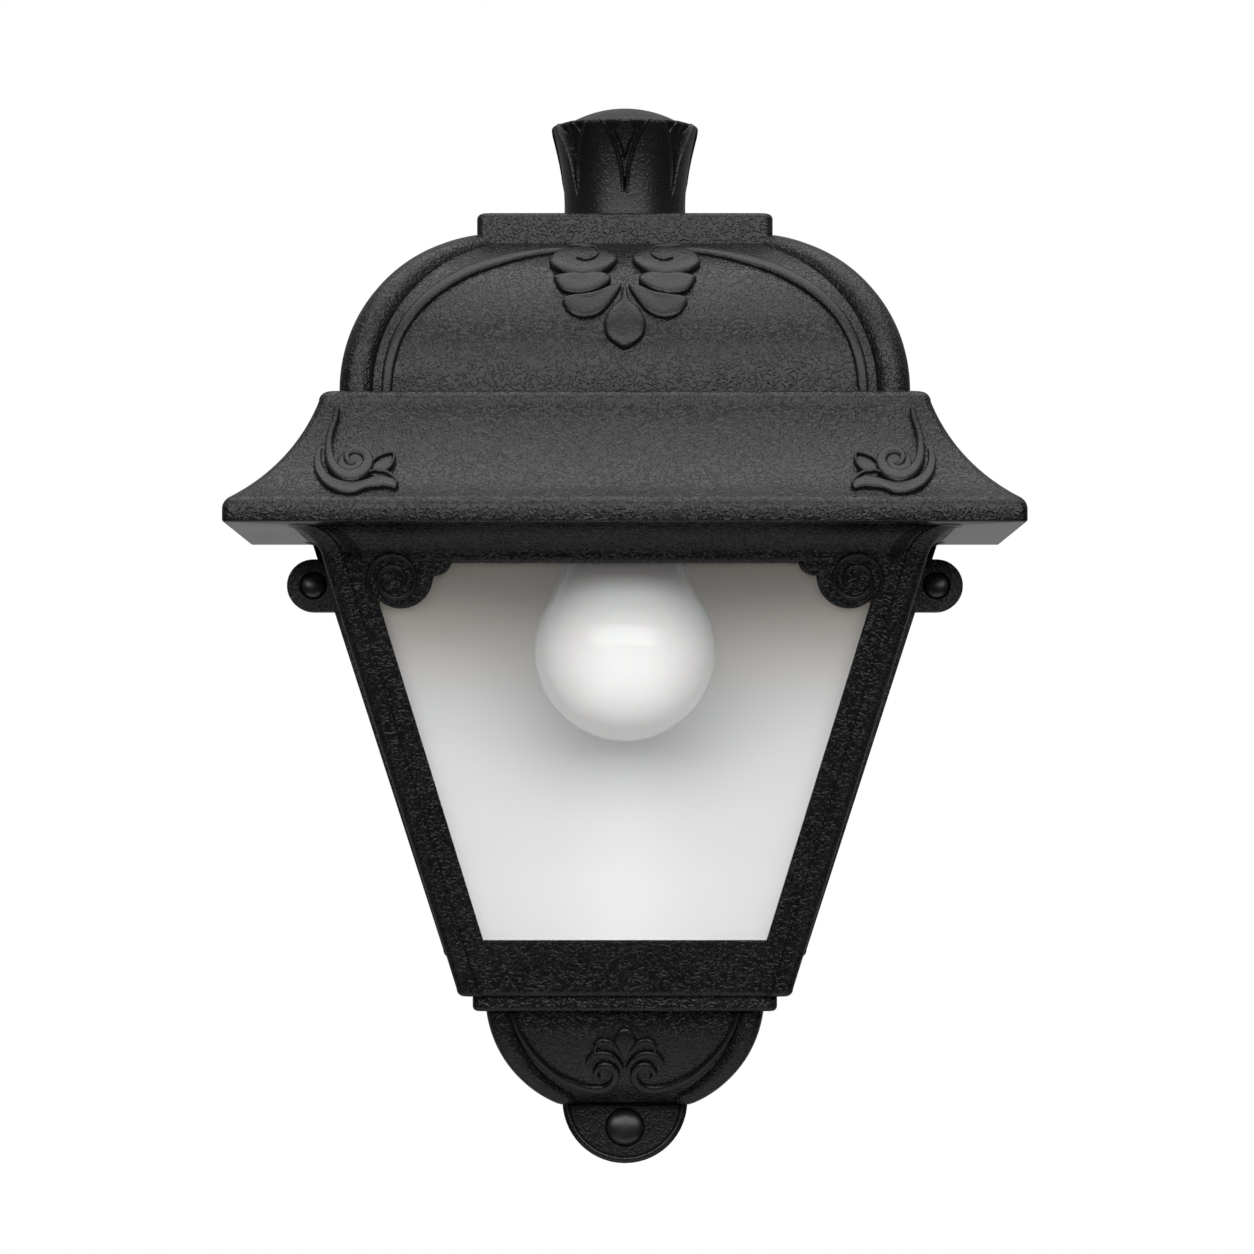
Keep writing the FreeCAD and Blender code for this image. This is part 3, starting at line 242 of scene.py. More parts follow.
class Skin:
    """Collects grids of points and turns them into one closed mesh object."""

    def __init__(self) -> None:
        """Starts with no points."""
        self.points: list[Array] = []
        self.faces: list[list[int]] = []
        self.count = 0

    def grid(self, points: Array) -> "Skin":
        """Adds a grid, of shape (rows, columns, 3), whose last column joins its first."""
        rows, columns = points.shape[:2]
        index = np.arange(rows * columns).reshape(rows, columns) + self.count
        self.points.append(points.reshape(-1, 3))
        self.faces += quads(np.concatenate([index, index[:, :1]], axis=1))
        self.count += rows * columns
        return self

    def loft(self, points: Array) -> "Skin":
        """Adds closed section loops along a path, one per row, with both ends closed by flat faces."""
        columns = points.shape[1]
        start = self.count
        self.grid(points)
        last = self.count - columns
        self.faces.append(list(range(start, start + columns)))
        self.faces.append(list(range(last, last + columns)))
        return self

    def build(self, name: str, body: Body, slot: Slot = Slot.RESIN, sharp: float = 38.0) -> Piece:
        """Makes the object: merges doubles, turns faces outwards and smooths all but sharp edges.

        Args:
            name: Piece name.
            body: The body that the piece rides on.
            slot: Not used.
            sharp: Angle in degrees past which an edge stays sharp.

        Returns:
            The new object, in metres.
        """
        mesh = bpy.data.meshes.new(name)
        mesh.from_pydata((np.concatenate(self.points) * MM).tolist(), [], self.faces)
        work = bmesh.new()
        work.from_mesh(mesh)
        bmesh.ops.remove_doubles(work, verts=work.verts, dist=2e-6)
        bmesh.ops.dissolve_degenerate(work, edges=work.edges, dist=1e-6)
        bmesh.ops.recalc_face_normals(work, faces=work.faces)
        work.to_mesh(mesh)
        work.free()
        mesh.shade_smooth()
        mesh.set_sharp_from_angle(angle=math.radians(sharp))
        piece = bpy.data.objects.new(name, mesh)
        bpy.context.scene.collection.objects.link(piece)
        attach(piece, body.value)
        LOG.info("%s: %d faces", name, len(mesh.polygons))
        return piece


def emboss(name: str, body: Body, grids: Iterable[Array], sharp: float = 38.0) -> Piece:
    """One resin piece made of several closed grids.

    Args:
        name: Piece name.
        body: The body that the piece rides on.
        grids: Grids with closed columns.
        sharp: Angle in degrees past which an edge stays sharp.

    Returns:
        The new object.
    """
    skin = Skin()
    for grid in grids:
        skin.grid(grid)
    return skin.build(name, body, sharp=sharp)


def pavilion(outline: Array, corner: float, rear: float, steps: int = 7) -> Array:
    """Outline of (half width, height) carried round the half square plan with rounded corners.

    At half width w the plan runs from the wall along x = w, round a quarter circle of the corner's radius,
    along y = -w, round the other corner and back to the wall.

    Args:
        outline: Array of (half width, height).
        corner: Radius of the plan's corners.
        rear: The y of the back ends.
        steps: Points on each corner.

    Returns:
        Grid of shape (plan points, outline points, 3).
    """
    width, height = outline[:, 0][None], outline[:, 1][None]
    radius = np.minimum(corner, width)
    turn = np.linspace(0, np.pi / 2, steps)[:, None]
    right = (width - radius) + radius * np.cos(turn)
    depth = (width - radius) + radius * np.sin(turn)
    back = np.zeros_like(width)
    x = np.concatenate([width, right, -right[::-1], -width])
    y = np.minimum(-np.concatenate([back, depth, depth[::-1], back]), rear)
    return np.stack([x, y, np.broadcast_to(height, x.shape)], axis=-1)


def tube(path: Array, radius: Array, up: Array, ring: int = 20) -> Array:
    """Circles carried along a path, square to it, with both ends drawn together into poles.

    Args:
        path: Points of shape (n, 3).
        radius: Radius at each point.
        up: A direction across the path.
        ring: Points on each circle.

    Returns:
        Grid of shape (n + 2, ring, 3) with closed columns.
    """
    ahead = np.gradient(path, axis=0)
    ahead /= np.linalg.norm(ahead, axis=1, keepdims=True)
    side = np.cross(ahead, up)
    side /= np.linalg.norm(side, axis=1, keepdims=True)
    lift = np.cross(side, ahead)
    angle = np.linspace(0, 2 * np.pi, ring, endpoint=False)[None, :, None]
    circle = np.cos(angle) * side[:, None] + np.sin(angle) * lift[:, None]
    rows = path[:, None] + circle * radius[:, None, None]
    poles = np.broadcast_to(path[[0, -1]][:, None], (2, ring, 3))
    return np.concatenate([poles[:1], rows, poles[1:]])


def hip_ribs(line: Array, radius: Array) -> list[Array]:
    """Round ribs on the two front hips: tubes along a line of (half width, height)."""
    return [tube(np.stack([side * line[:, 0], -line[:, 0], line[:, 1]], axis=1), radius,
                 np.array([1.0, side, 0.0])) for side in (1, -1)]


def revolve(radius: Array, height: Array, x: float, y: float, columns: int) -> Array:
    """Rows turned about an upright axis, with closed columns.

    Args:
        radius: Radius of each row, as one column or as one column per angle.
        height: Height of each row, as one column.
        x: Place of the axis.
        y: Place of the axis.
        columns: Number of angles.

    Returns:
        Grid of shape (rows, columns, 3).
    """
    angle = np.linspace(0, 2 * np.pi, columns, endpoint=False)[None]
    level = np.broadcast_to(height, (len(height), columns))
    return np.stack([x + radius * np.cos(angle), y + radius * np.sin(angle), level], axis=-1)


def band(ground: Ground, track: Track, height: float, face: Face = Face.FRONT, fullness: float = 2.6,
         steps: int = 150, ring: int = 13, even: bool = False) -> Array:
    """Raised strip: a rounded section, a superellipse of the half width and height, carried along a track.

    Args:
        ground: The surface that the strip lies on.
        track: Points of (along, height on the lantern, half width) that the middle of the strip passes.
        height: How far the strip stands up where it is widest.
        face: The side of the lantern.
        fullness: Power of the superellipse; more gives a flatter top.
        steps: Points along the track.
        ring: Points across the top.
        even: Whether thin stretches keep the full height.

    Returns:
        Grid of shape (steps + 2, ring + 2, 3) with closed columns.
    """
    line = smooth(track, steps)
    ahead = np.gradient(line[:, :2], axis=0)
    line = np.concatenate([line[:1], line, line[-1:]])
    ahead = np.concatenate([ahead[:1], ahead, ahead[-1:]])
    ahead /= np.linalg.norm(ahead, axis=1, keepdims=True)
    half = np.maximum(line[:, 2:3], 0.05)
    half[[0, -1]] = 0.0
    angle = np.linspace(0, np.pi, ring)
    across = np.sign(np.cos(angle)) * np.abs(np.cos(angle)) ** (2 / fullness)
    rise = height * np.abs(np.sin(angle)) ** (2 / fullness)
    across = np.concatenate([across, [-1, 1]])[None]
    lift = np.concatenate([rise, [-SINK, -SINK]])[None]
    thin = np.minimum(1.0, half / (0.5 * line[:, 2].max())) ** 0.5
    thin = (half > 0) * 1.0 if even else thin
    lift = np.where(lift > 0, lift * thin, lift * (half > 0))
    along = line[:, :1] - ahead[:, 1:2] * half * across
    z = line[:, 1:2] + ahead[:, :1] * half * across
    return lay(ground, face, along, z, lift)


def pillow(ground: Ground, outline: Array, top: float, fullness: float, bottom: float = -SINK,
           dish: float = 0.0, centre: Optional[Sequence[float]] = None, rows: int = 14) -> Array:
    """Raised pad on the front inside an outline: its height falls from centre to edge as a superellipse.

    Args:
        ground: The surface that the pad lies on.
        outline: Closed outline of (along, height on the lantern).
        top: Lift of the pad's middle.
        fullness: Power of the superellipse; more gives a flatter top and a steeper side.
        bottom: Lift of its foot.
        dish: How far the middle is pressed in again.
        centre: Middle of the rings, or None for the outline's mean.
        rows: Rings from the middle to the edge.

    Returns:
        Grid of shape (rows + 1, outline points, 3) with closed columns.
    """
    middle = outline.mean(axis=0) if centre is None else np.asarray(centre, float)
    share = np.sin(np.linspace(0, np.pi / 2, rows))
    rise = (1 - share ** fullness) ** (1 / fullness)
    lift = bottom + (top - bottom) * rise - dish * np.cos(np.pi / 2 * np.minimum(1, share / 0.85)) ** 2
    share = np.concatenate([share, [0.0]])[:, None]
    lift = np.concatenate([lift, [bottom]])[:, None]
    along = middle[0] + share * (outline[:, 0] - middle[0])[None]
    z = middle[1] + share * (outline[:, 1] - middle[1])[None]
    return lay(ground, Face.FRONT, along, z, np.broadcast_to(lift, along.shape))


class Shade:
    """A socket in a node tree, with arithmetic that adds Math nodes."""

    def __init__(self, tree: "Tree", socket: bpy.types.NodeSocket) -> None:
        """Keeps the tree and the socket."""
        self.tree = tree
        self.socket = socket

    def math(self, operation: str, *others: Union["Shade", float], swap: bool = False) -> "Shade":
        """Adds a Math node on this value and others; swap puts this value second."""
        values = [*others, self] if swap else [self, *others]
        return self.tree.out(self.tree.node("ShaderNodeMath", dict(enumerate(values)), operation=operation))

    def __add__(self, other: Union["Shade", float]) -> "Shade":
        """Sum."""
        return self.math("ADD", other)

    def __sub__(self, other: Union["Shade", float]) -> "Shade":
        """Difference."""
        return self.math("SUBTRACT", other)

    def __rsub__(self, other: float) -> "Shade":
        """Difference from a number."""
        return self.math("SUBTRACT", other, swap=True)

    def __mul__(self, other: Union["Shade", float]) -> "Shade":
        """Product."""
        return self.math("MULTIPLY", other)

    def __pow__(self, other: float) -> "Shade":
        """Power."""
        return self.math("POWER", other)

    __radd__ = __add__
    __rmul__ = __mul__

    def clamped(self) -> "Shade":
        """The value kept between 0 and 1."""
        return self.math("MAXIMUM", 0.0).math("MINIMUM", 1.0)


class Tree:
    """A node tree that takes new nodes."""

    def __init__(self, tree: bpy.types.NodeTree) -> None:
        """Keeps the tree."""
        self.tree = tree

    def node(self, kind: str, inputs: Optional[dict] = None, **settings: str) -> bpy.types.Node:
        """Adds any node.

        Args:
            kind: Node type.
            inputs: Values or links of its sockets by name or number.
            settings: Properties, set before the sockets.

        Returns:
            The node.
        """
        node = self.tree.nodes.new(kind)
        for key, value in settings.items():
            setattr(node, key, value)
        for key, value in (inputs or {}).items():
            self.feed(node.inputs[key], value)
        return node

    def feed(self, socket: bpy.types.NodeSocket, value: Union[Shade, float, Sequence[float]]) -> None:
        """Links a shade to a socket or sets the socket's own value."""
        if isinstance(value, Shade):
            self.tree.links.new(value.socket, socket)
        else:
            socket.default_value = value

    def out(self, node: bpy.types.Node, name: Union[str, int] = 0) -> Shade:
        """An output of a node as a shade."""
        return Shade(self, node.outputs[name])

    def part(self, vector: Shade, axis: str) -> Shade:
        """One axis of a vector."""
        return self.out(self.node("ShaderNodeSeparateXYZ", {0: vector}), axis)


class Graph(Tree):
    """A material's node tree with its Principled shader."""

    def __init__(self, name: str) -> None:
        """Makes the material and its Object coordinates."""
        self.material = bpy.data.materials.new(name)
        self.material.use_nodes = True
        super().__init__(self.material.node_tree)
        self.place = self.out(self.node("ShaderNodeTexCoord"), "Object")

    def noise(self, scale: float, detail: float = 2.0, distortion: float = 0.0,
              stretch: Optional[Sequence[float]] = None) -> Shade:
        """Noise on Object coordinates, optionally stretched by a Mapping node."""
        place = self.place
        if stretch is not None:
            place = self.out(self.node("ShaderNodeMapping", {"Vector": place, "Scale": stretch}))
        return self.out(self.node("ShaderNodeTexNoise", {
            "Vector": place, "Scale": scale, "Detail": detail, "Distortion": distortion}))

    def mix(self, factor: Shade, first: Union[Shade, Colour], second: Colour) -> Shade:
        """Colour mixed between two by a factor; the first may be a mix itself."""
        start = first if isinstance(first, Shade) else (*first, 1.0)
        inputs = {0: factor, 6: start, 7: (*second, 1.0)}
        return self.out(self.node("ShaderNodeMix", inputs, data_type="RGBA"), 2)

    def bump(self, height: Shade, strength: float, distance: float, under: Optional[Shade] = None) -> Shade:
        """Normal bent by a height; distance is in metres."""
        inputs = {"Height": height, "Strength": strength, "Distance": distance}
        if under is not None:
            inputs["Normal"] = under
        return self.out(self.node("ShaderNodeBump", inputs))

    def surface(self, **sockets: Union[Shade, float]) -> Finish:
        """Feeds the Principled shader by socket names with underscores and returns the material."""
        shader = self.tree.nodes["Principled BSDF"]
        for key, value in sockets.items():
            self.feed(shader.inputs[key.replace("_", " ")], value)
        return self.material


@dataclass(frozen=True)
class WrinkledResin:
    """Black moulded resin with short worm-like wrinkles: the middle contours of a fine noise, broken up."""

    name: str
    dark: Colour = (0.0026, 0.0027, 0.0030)
    light: Colour = (0.0066, 0.0068, 0.0073)
    cell: float = 0.0019
    line: float = 0.10
    depth: float = 0.00032
    strength: float = 0.50
    roughness: float = 0.19
    valley_rough: float = 0.10
    parting_gloss: float = 0.08
    drift_rough: float = 0.10
    sheen: float = 0.21

    def worms(self, graph: Graph, cell: float, stretch: Sequence[float]) -> Shade:
        """Rounded ridges along the contours where a noise is at its middle value."""
        waves = graph.noise(1 / cell, detail=0.6, distortion=0.35, stretch=stretch)
        away = (waves - 0.5).math("ABSOLUTE")
        near = (1.0 - away * (1 / self.line)).clamped()
        return near * near * (3.0 - 2.0 * near)

    def underside(self, graph: Graph) -> Shade:
        """One on level undersides, where the mould parts and the skin comes out smooth; zero elsewhere."""
        normal = graph.out(graph.node("ShaderNodeNewGeometry"), "True Normal")
        return (graph.part(normal, "Z") * -100.0 - 98.5).clamped()

    def material(self) -> Finish:
        """The wrinkle bends the normal; its crests are paler and smoother than its valleys."""
        graph = Graph(self.name)
        first = self.worms(graph, self.cell, (1.0, 1.0, 1.0))
        second = self.worms(graph, self.cell * 0.8, (1.07, 0.95, 1.02))
        gate = (graph.noise(0.62 / self.cell, detail=1.0) * 6.0 - 2.5).clamped()
        parting = self.underside(graph)
        crest = (first * gate).math("MAXIMUM", second * (1.0 - gate)) * (1.0 - parting)
        drift = graph.noise(38.0, detail=3.0)
        grain = graph.noise(2600.0, detail=2.0)
        tone = (crest * 0.5 + drift * 0.5).clamped()
        normal = graph.bump(grain, 0.12, 0.00006)
        normal = graph.bump(crest, self.strength, self.depth, under=normal)
        rough = self.roughness + self.valley_rough * (1.0 - crest) * (1.0 - parting)
        rough = rough - self.parting_gloss * parting + self.drift_rough * (drift - 0.5)
        return graph.surface(Base_Color=graph.mix(tone, self.dark, self.light), Roughness=rough,
                             Normal=normal, IOR=1.5, Specular_IOR_Level=self.sheen)


@dataclass(frozen=True)
class PlainMoulding:
    """Moulded plastic, ceramic, rubber or insulation: two near colours, fine grain and soft scuffs."""

    name: str
    dark: Colour
    light: Colour
    roughness: float
    grain: float = 1400.0
    strength: float = 0.10

    def material(self) -> Finish:
        """Slow drift sets the colour, fine grain the bump and a mid-scale scuff the roughness."""
        graph = Graph(self.name)
        drift = graph.noise(70.0, detail=4.0)
        grain = graph.noise(self.grain, detail=2.0)
        scuff = graph.noise(260.0, detail=3.0, distortion=0.4)
        tone = (drift * 0.8 + grain * 0.2).clamped()
        return graph.surface(Base_Color=graph.mix(tone, self.dark, self.light),
                             Roughness=self.roughness + 0.25 * (scuff - 0.5),
                             Normal=graph.bump(grain, self.strength, 0.00008), IOR=1.49)


@dataclass(frozen=True)
class DrawnMetal:
    """Plated steel or brass: drawing marks along one axis, tarnish spots and handling haze."""

    name: str
    dark: Colour
    light: Colour
    roughness: float = 0.26

    def material(self) -> Finish:
        """Stretched noise gives the marks, slow noise the tarnish."""
        graph = Graph(self.name)
        marks = graph.noise(900.0, detail=2.0, stretch=(1.0, 1.0, 0.06))
        tarnish = graph.noise(160.0, detail=5.0)
        tone = (marks * 0.35 + tarnish * 0.75).clamped()
        return graph.surface(Base_Color=graph.mix(tone, self.dark, self.light), Metallic=1.0,
                             Roughness=self.roughness + 0.30 * (tarnish - 0.45),
                             Normal=graph.bump(marks, 0.12, 0.00005))


@dataclass(frozen=True)
class ClearPane:
    """Clear pane: almost nothing seen square on, more gloss at a glance, with faint moulding haze."""

    name: str
    dark: Colour = (0.80, 0.83, 0.83)
    light: Colour = (0.90, 0.92, 0.92)

    def material(self) -> Finish:
        """Alpha grows with the facing angle, and a faint haze adds to it."""
        graph = Graph(self.name)
        facing = graph.out(graph.node("ShaderNodeLayerWeight", {"Blend": 0.5}), "Facing")
        haze = graph.noise(45.0, detail=4.0)
        ripple = graph.noise(30.0, detail=1.0)
        alpha = (0.05 + 0.50 * facing ** 4.0 + 0.03 * haze).clamped()
        return graph.surface(Base_Color=graph.mix(haze, self.dark, self.light), Roughness=0.03 + 0.04 * haze,
                             Alpha=alpha, Normal=graph.bump(ripple, 0.04, 0.0004), IOR=1.49)


@dataclass(frozen=True)
class WhiteSheet:
    """White painted sheet behind the lamp, with faint orange peel and painted shade: greyer towards its foot,
    brownish towards its top.
    """

    name: str
    clean: Colour = (0.94, 0.94, 0.945)
    # Painted shade: greyer colour for the foot of the sheet.
    painted_foot_shade: Colour = (0.81, 0.81, 0.82)
    # Painted shade: brownish colour for the top of the sheet, which the roof shades.
    painted_top_shade: Colour = (0.86, 0.71, 0.57)

    def material(self) -> Finish:
        """Painted shade greys the white towards its foot and browns it towards its top; peel bends the
        normal.
        """
        graph = Graph(self.name)
        drift = graph.noise(22.0, detail=3.0)
        peel = graph.noise(900.0, detail=1.0)
        height = graph.part(graph.place, "Z")
        # Painted shade: share of brown that grows towards the top, where the roof shades the sheet.
        top_shade_share = (height * 22.0 - 0.45 + (drift - 0.5) * 0.25).clamped()
        # Painted shade: share of grey that grows towards the foot.
        foot_shade_share = (height * -28.0 + 0.15 + (drift - 0.5) * 0.15).clamped()
        white = graph.mix(foot_shade_share, self.clean, self.painted_foot_shade)
        return graph.surface(Base_Color=graph.mix(top_shade_share, white, self.painted_top_shade),
                             Roughness=0.42 + 0.12 * drift, Normal=graph.bump(peel, 0.05, 0.00008))


@dataclass(frozen=True)
class OpalGlass:
    """Opal lamp glass: glossy white with a little depth below its surface."""

    name: str
    dark: Colour = (0.82, 0.818, 0.812)
    light: Colour = (0.87, 0.868, 0.862)

    def material(self) -> Finish:
        """Slow drift shades the white; the gloss is nearly even."""
        graph = Graph(self.name)
        drift = graph.noise(30.0, detail=2.0)
        swirl = graph.noise(120.0, detail=2.0)
        return graph.surface(Base_Color=graph.mix(drift, self.dark, self.light),
                             Roughness=0.10 + 0.05 * swirl, Normal=graph.bump(swirl, 0.02, 0.0002),
                             Specular_IOR_Level=0.3, Subsurface_Weight=0.4, Subsurface_Scale=0.012)


FINISHES = (
    WrinkledResin("black_resin"),
    WrinkledResin("calm_resin", strength=0.20, roughness=0.24),
    PlainMoulding("satin_resin", (0.0050, 0.0051, 0.0054), (0.0090, 0.0092, 0.0096), 0.34, 900.0, 0.12),
    ClearPane("clear_pane"),
    WhiteSheet("white_sheet"),
    OpalGlass("opal_bulb"),
    DrawnMetal("plated_steel", (0.42, 0.42, 0.43), (0.62, 0.62, 0.61)),
    DrawnMetal("brass", (0.48, 0.33, 0.12), (0.70, 0.52, 0.22)),
    PlainMoulding("holder_black", (0.012, 0.012, 0.012), (0.022, 0.022, 0.022), 0.42),
    PlainMoulding("insulator", (0.62, 0.60, 0.56), (0.74, 0.73, 0.70), 0.32, 700.0, 0.06),
    PlainMoulding("brown_insulation", (0.10, 0.045, 0.02), (0.15, 0.07, 0.032), 0.40),
    PlainMoulding("blue_insulation", (0.02, 0.07, 0.24), (0.03, 0.11, 0.34), 0.40),
    PlainMoulding("seal_rubber", (0.014, 0.014, 0.014), (0.026, 0.026, 0.025), 0.75, 1800.0, 0.2),
)

# The CAD nodes that keep their own shape, by the finish that they wear.
WORN_BY_NODES = {
    "plated_steel": ("body_screws", "lamp_bracket", "bracket_screws", "bracket_nuts", "holder_nipple",
                     "holder_nut", "roof_stud", "stud_nut", "terminal_screws", "terminal_fixing_screw"),
    "calm_resin": ("wall_plate",),
    "white_sheet": ("reflector",),
    "clear_pane": ("diffuser",),
    "brass": ("thread_shell", "centre_contact", "finial_insert"),
    "insulator": ("lampholder_base", "terminal_block"),
    "holder_black": ("lampholder_shell",),
    "brown_insulation": ("live_wire",),
    "blue_insulation": ("neutral_wire",),
    "seal_rubber": ("cable_grommet", "finial_washer"),
}


@dataclass
class Roof:
    """Pavilion roof: flared skirt, ribbed dome, square top plate and their reliefs."""

    seat_z: float = 74.9
    eave_w: float = 126.9
    eave_round: float = 0.8
    fascia_h: float = 4.2
    fascia_round: float = 4.5
    fascia_turn: float = 58.5
    skirt_top_w: float = 98.2
    shoulder: float = 3.5
    shoulder_turn: float = 12.0
    ledge_z: float = 118.9
    dome: Circle = (35.3, 119.54, 54.0)
    plate_w: float = 48.9
    top_z: float = 182.1
    plate_round: float = 2.0
    wall: float = 3.0
    mouth_w: float = 99.2
    rear: float = -0.3
    corner: float = 3.0
    rib_r: float = 6.0
    rib_sink: float = 3.2
    rib_turn: tuple[float, float] = (-3.0, 75.0)
    bead_h: float = 1.5
    pad_fullness: float = 6.0
    pad_dish: float = 0.25
    volute_h: float = 2.4
    lobe_upper_h: float = 2.0
    lobe_lower_h: float = 1.6
    curl_h: float = 2.95
    drop_h: float = 2.1
    drop_fullness: float = 4.5
    stem_h: float = 2.2
    strip_h: float = 1.5
    leaf_h: float = 1.9
    leaf_floor_h: float = 0.9
    flat_fullness: float = 8.0
    eye: Circle = (-86.4, 93.6, 4.9)
    eye_h: float = 1.5
    bead_foot: Track = (
        (-76.8, 119.2, 1.8), (-75.9, 128.0, 1.9), (-73.5, 136.4, 1.9), (-69.6, 143.6, 1.9),
        (-64.2, 150.1, 1.9), (-57.2, 155.8, 1.9), (-49.2, 160.6, 1.9))
    bead_end: Track = ((-40.5, 164.0, 1.8), (-31.5, 166.4, 1.3), (-22.5, 167.8, 0.9), (-14.5, 168.2, 0.7))
    side_bead_end: Track = ((-40.5, 164.0, 1.9), (-31.5, 166.4, 1.6), (-26.0, 167.2, 0.8))
    curl: Track = (
        (-18.0, 167.4, 0.25), (-14.5, 167.7, 0.45), (-10.2, 166.9, 0.48), (-8.6, 164.9, 0.5),
        (-10.0, 163.1, 0.5), (-12.8, 162.3, 0.45), (-15.8, 162.9, 0.3))
    volute: Track = (
        (-24.8, 162.9), (-21.8, 159.4), (-13.9, 157.2), (-6.2, 159.3), (-2.3, 163.6), (-4.6, 167.2),
        (-12.0, 168.6), (-21.0, 167.2))
    lobe_upper: Track = (
        (-22.4, 157.7), (-22.8, 155.9), (-20.4, 152.3), (-15.2, 151.0), (-9.2, 152.4), (-4.6, 155.8),
        (-6.2, 158.5), (-14.0, 159.2))
    lobe_lower: Track = (
        (-19.4, 150.4), (-20.2, 148.4), (-17.5, 144.4), (-12.7, 143.0), (-7.6, 144.9), (-3.6, 149.6),
        (-1.0, 154.4), (-3.4, 154.6), (-9.2, 152.2), (-14.8, 151.2))
    drop_half: Track = (
        (0.0, 155.0), (1.6, 149.6), (4.8, 146.0), (6.5, 143.1), (6.9, 140.5), (5.9, 136.9), (3.3, 134.4),
        (0.0, 132.7))
    stem: Track = (
        (-92.0, 112.4, 1.0), (-92.6, 108.3, 1.1), (-93.6, 105.0, 1.2), (-94.2, 101.3, 1.25),
        (-94.1, 97.5, 1.5), (-93.5, 94.5, 1.7), (-92.2, 92.0, 1.8), (-89.9, 90.0, 2.0), (-86.5, 89.2, 2.15),
        (-83.0, 90.8, 2.2), (-81.5, 94.0, 2.0), (-83.0, 96.9, 1.7), (-86.0, 97.8, 1.4), (-88.2, 96.3, 1.25),
        (-88.0, 94.1, 1.1), (-86.2, 93.3, 0.8), (-84.8, 94.4, 0.4))
    strip: Track = (
        (-96.8, 99.2, 0.4), (-97.5, 96.7, 1.1), (-97.4, 93.3, 1.4), (-95.9, 90.0, 1.6), (-93.1, 87.3, 1.9),
        (-89.2, 85.7, 2.0), (-85.4, 85.4, 1.9), (-81.7, 86.6, 1.6), (-78.7, 87.4, 2.0), (-76.3, 87.6, 1.9),
        (-74.2, 87.1, 1.7), (-72.3, 86.7, 1.7), (-71.5, 86.6, 0.5))
    tail: Track = (
        (-81.0, 90.2, 0.3), (-78.8, 91.0, 0.6), (-76.3, 90.6, 0.65), (-73.9, 89.2, 0.65),
        (-72.2, 87.3, 0.65), (-71.9, 86.0, 0.5))
    leaf: Track = (
        (-80.6, 92.9, 0.4), (-79.6, 94.6, 0.6), (-78.0, 95.9, 0.65), (-76.0, 96.8, 0.65),
        (-73.9, 97.1, 0.65), (-73.3, 95.4, 0.65), (-73.9, 93.1, 0.65), (-75.3, 91.4, 0.65),
        (-77.4, 90.7, 0.6), (-79.6, 91.0, 0.4))

    def skirt(self) -> tuple[tuple[float, float], float]:
        """Centre and radius of the hollow arc that leaves the rounded fascia without a break."""
        turn = math.radians(self.fascia_turn)
        start = (self.eave_w - self.fascia_round * (1 - math.cos(turn)),
                 self.seat_z + self.fascia_h + self.fascia_round * math.sin(turn))
        across, rise = self.skirt_top_w - start[0], self.ledge_z - self.shoulder - start[1]
        outward = (math.cos(turn), math.sin(turn))
        radius = (across ** 2 + rise ** 2) / (2 * (across * outward[0] + rise * outward[1]))
        return (start[0] + radius * outward[0], start[1] + radius * outward[1]), radius

    def side_outline(self, inset: float) -> Array:
        """Fascia, skirt, shoulder, dome and top plate, each an arc, from eave to axis.

        Args:
            inset: How far the outline is moved in; zero gives the outside.

        Returns:
            Array of (half width, height).
        """
        centre, radius = self.skirt()
        dome_w, dome_z, dome_r = self.dome
        foot = bearing(centre, (self.skirt_top_w, self.ledge_z - self.shoulder)) % 360
        shoulder = (self.skirt_top_w - self.shoulder, self.ledge_z - self.shoulder)
        dome_r -= inset
        plate_w = self.plate_w - inset
        fascia = (self.eave_w - self.fascia_round, self.seat_z + self.fascia_h)
        low = math.degrees(math.asin((self.ledge_z - inset - dome_z) / dome_r))
        high = math.degrees(math.acos((plate_w - dome_w) / dome_r))
        crown = (plate_w - self.plate_round, self.top_z - inset - self.plate_round)
        return np.concatenate([
            arc(fascia, self.fascia_round - inset, 0, self.fascia_turn, 8),
            arc(centre, radius + inset, 180 + self.fascia_turn, foot, 26)[1:],
            arc(shoulder, self.shoulder - inset, self.shoulder_turn, 90, 7),
            arc((dome_w, dome_z), dome_r, low, high, 36),
            arc(crown, self.plate_round, 0, 90, 6),
            [(0.0, self.top_z - inset)]])

    def shell(self) -> Piece:
        """Outer and inner outline as one closed section, carried round the plan."""
        eave = arc((self.eave_w - self.eave_round, self.seat_z + self.eave_round), self.eave_round, -90, 0, 5)
        section = np.concatenate([
            [(self.mouth_w, self.seat_z)], eave, self.side_outline(0.0), self.side_outline(self.wall)[::-1],
            [(self.eave_w - self.wall, self.seat_z + self.wall), (self.mouth_w, self.seat_z + self.wall)]])
        piece = Skin().loft(pavilion(section, self.corner, self.rear)).build("roof_shell", Body.ROOF)
        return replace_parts(piece, "roof")

    def ribs(self) -> Piece:
        """Round ribs along the two hips of the dome: tubes on the arc, sunk towards its centre."""
        line = arc(self.dome[:2], self.dome[2] - self.rib_sink, *self.rib_turn, 70)
        return emboss("roof_ribs", Body.ROOF, hip_ribs(line, np.full(len(line), self.rib_r)))

    def beads(self) -> Piece:
        """Raised strips that follow the ribs; on the front they end in the curls of the palmette."""
        ground = ArcGround(*self.dome)
        side = mirrored((*self.bead_foot, *self.side_bead_end))
        front = both((*self.bead_foot, *self.bead_end))
        grids = [band(ground, track, self.bead_h, steps=320) for track in front]
        grids += [band(ground, side, self.bead_h, face) for face in (Face.RIGHT, Face.LEFT)]
        return emboss("roof_beads", Body.ROOF, grids)

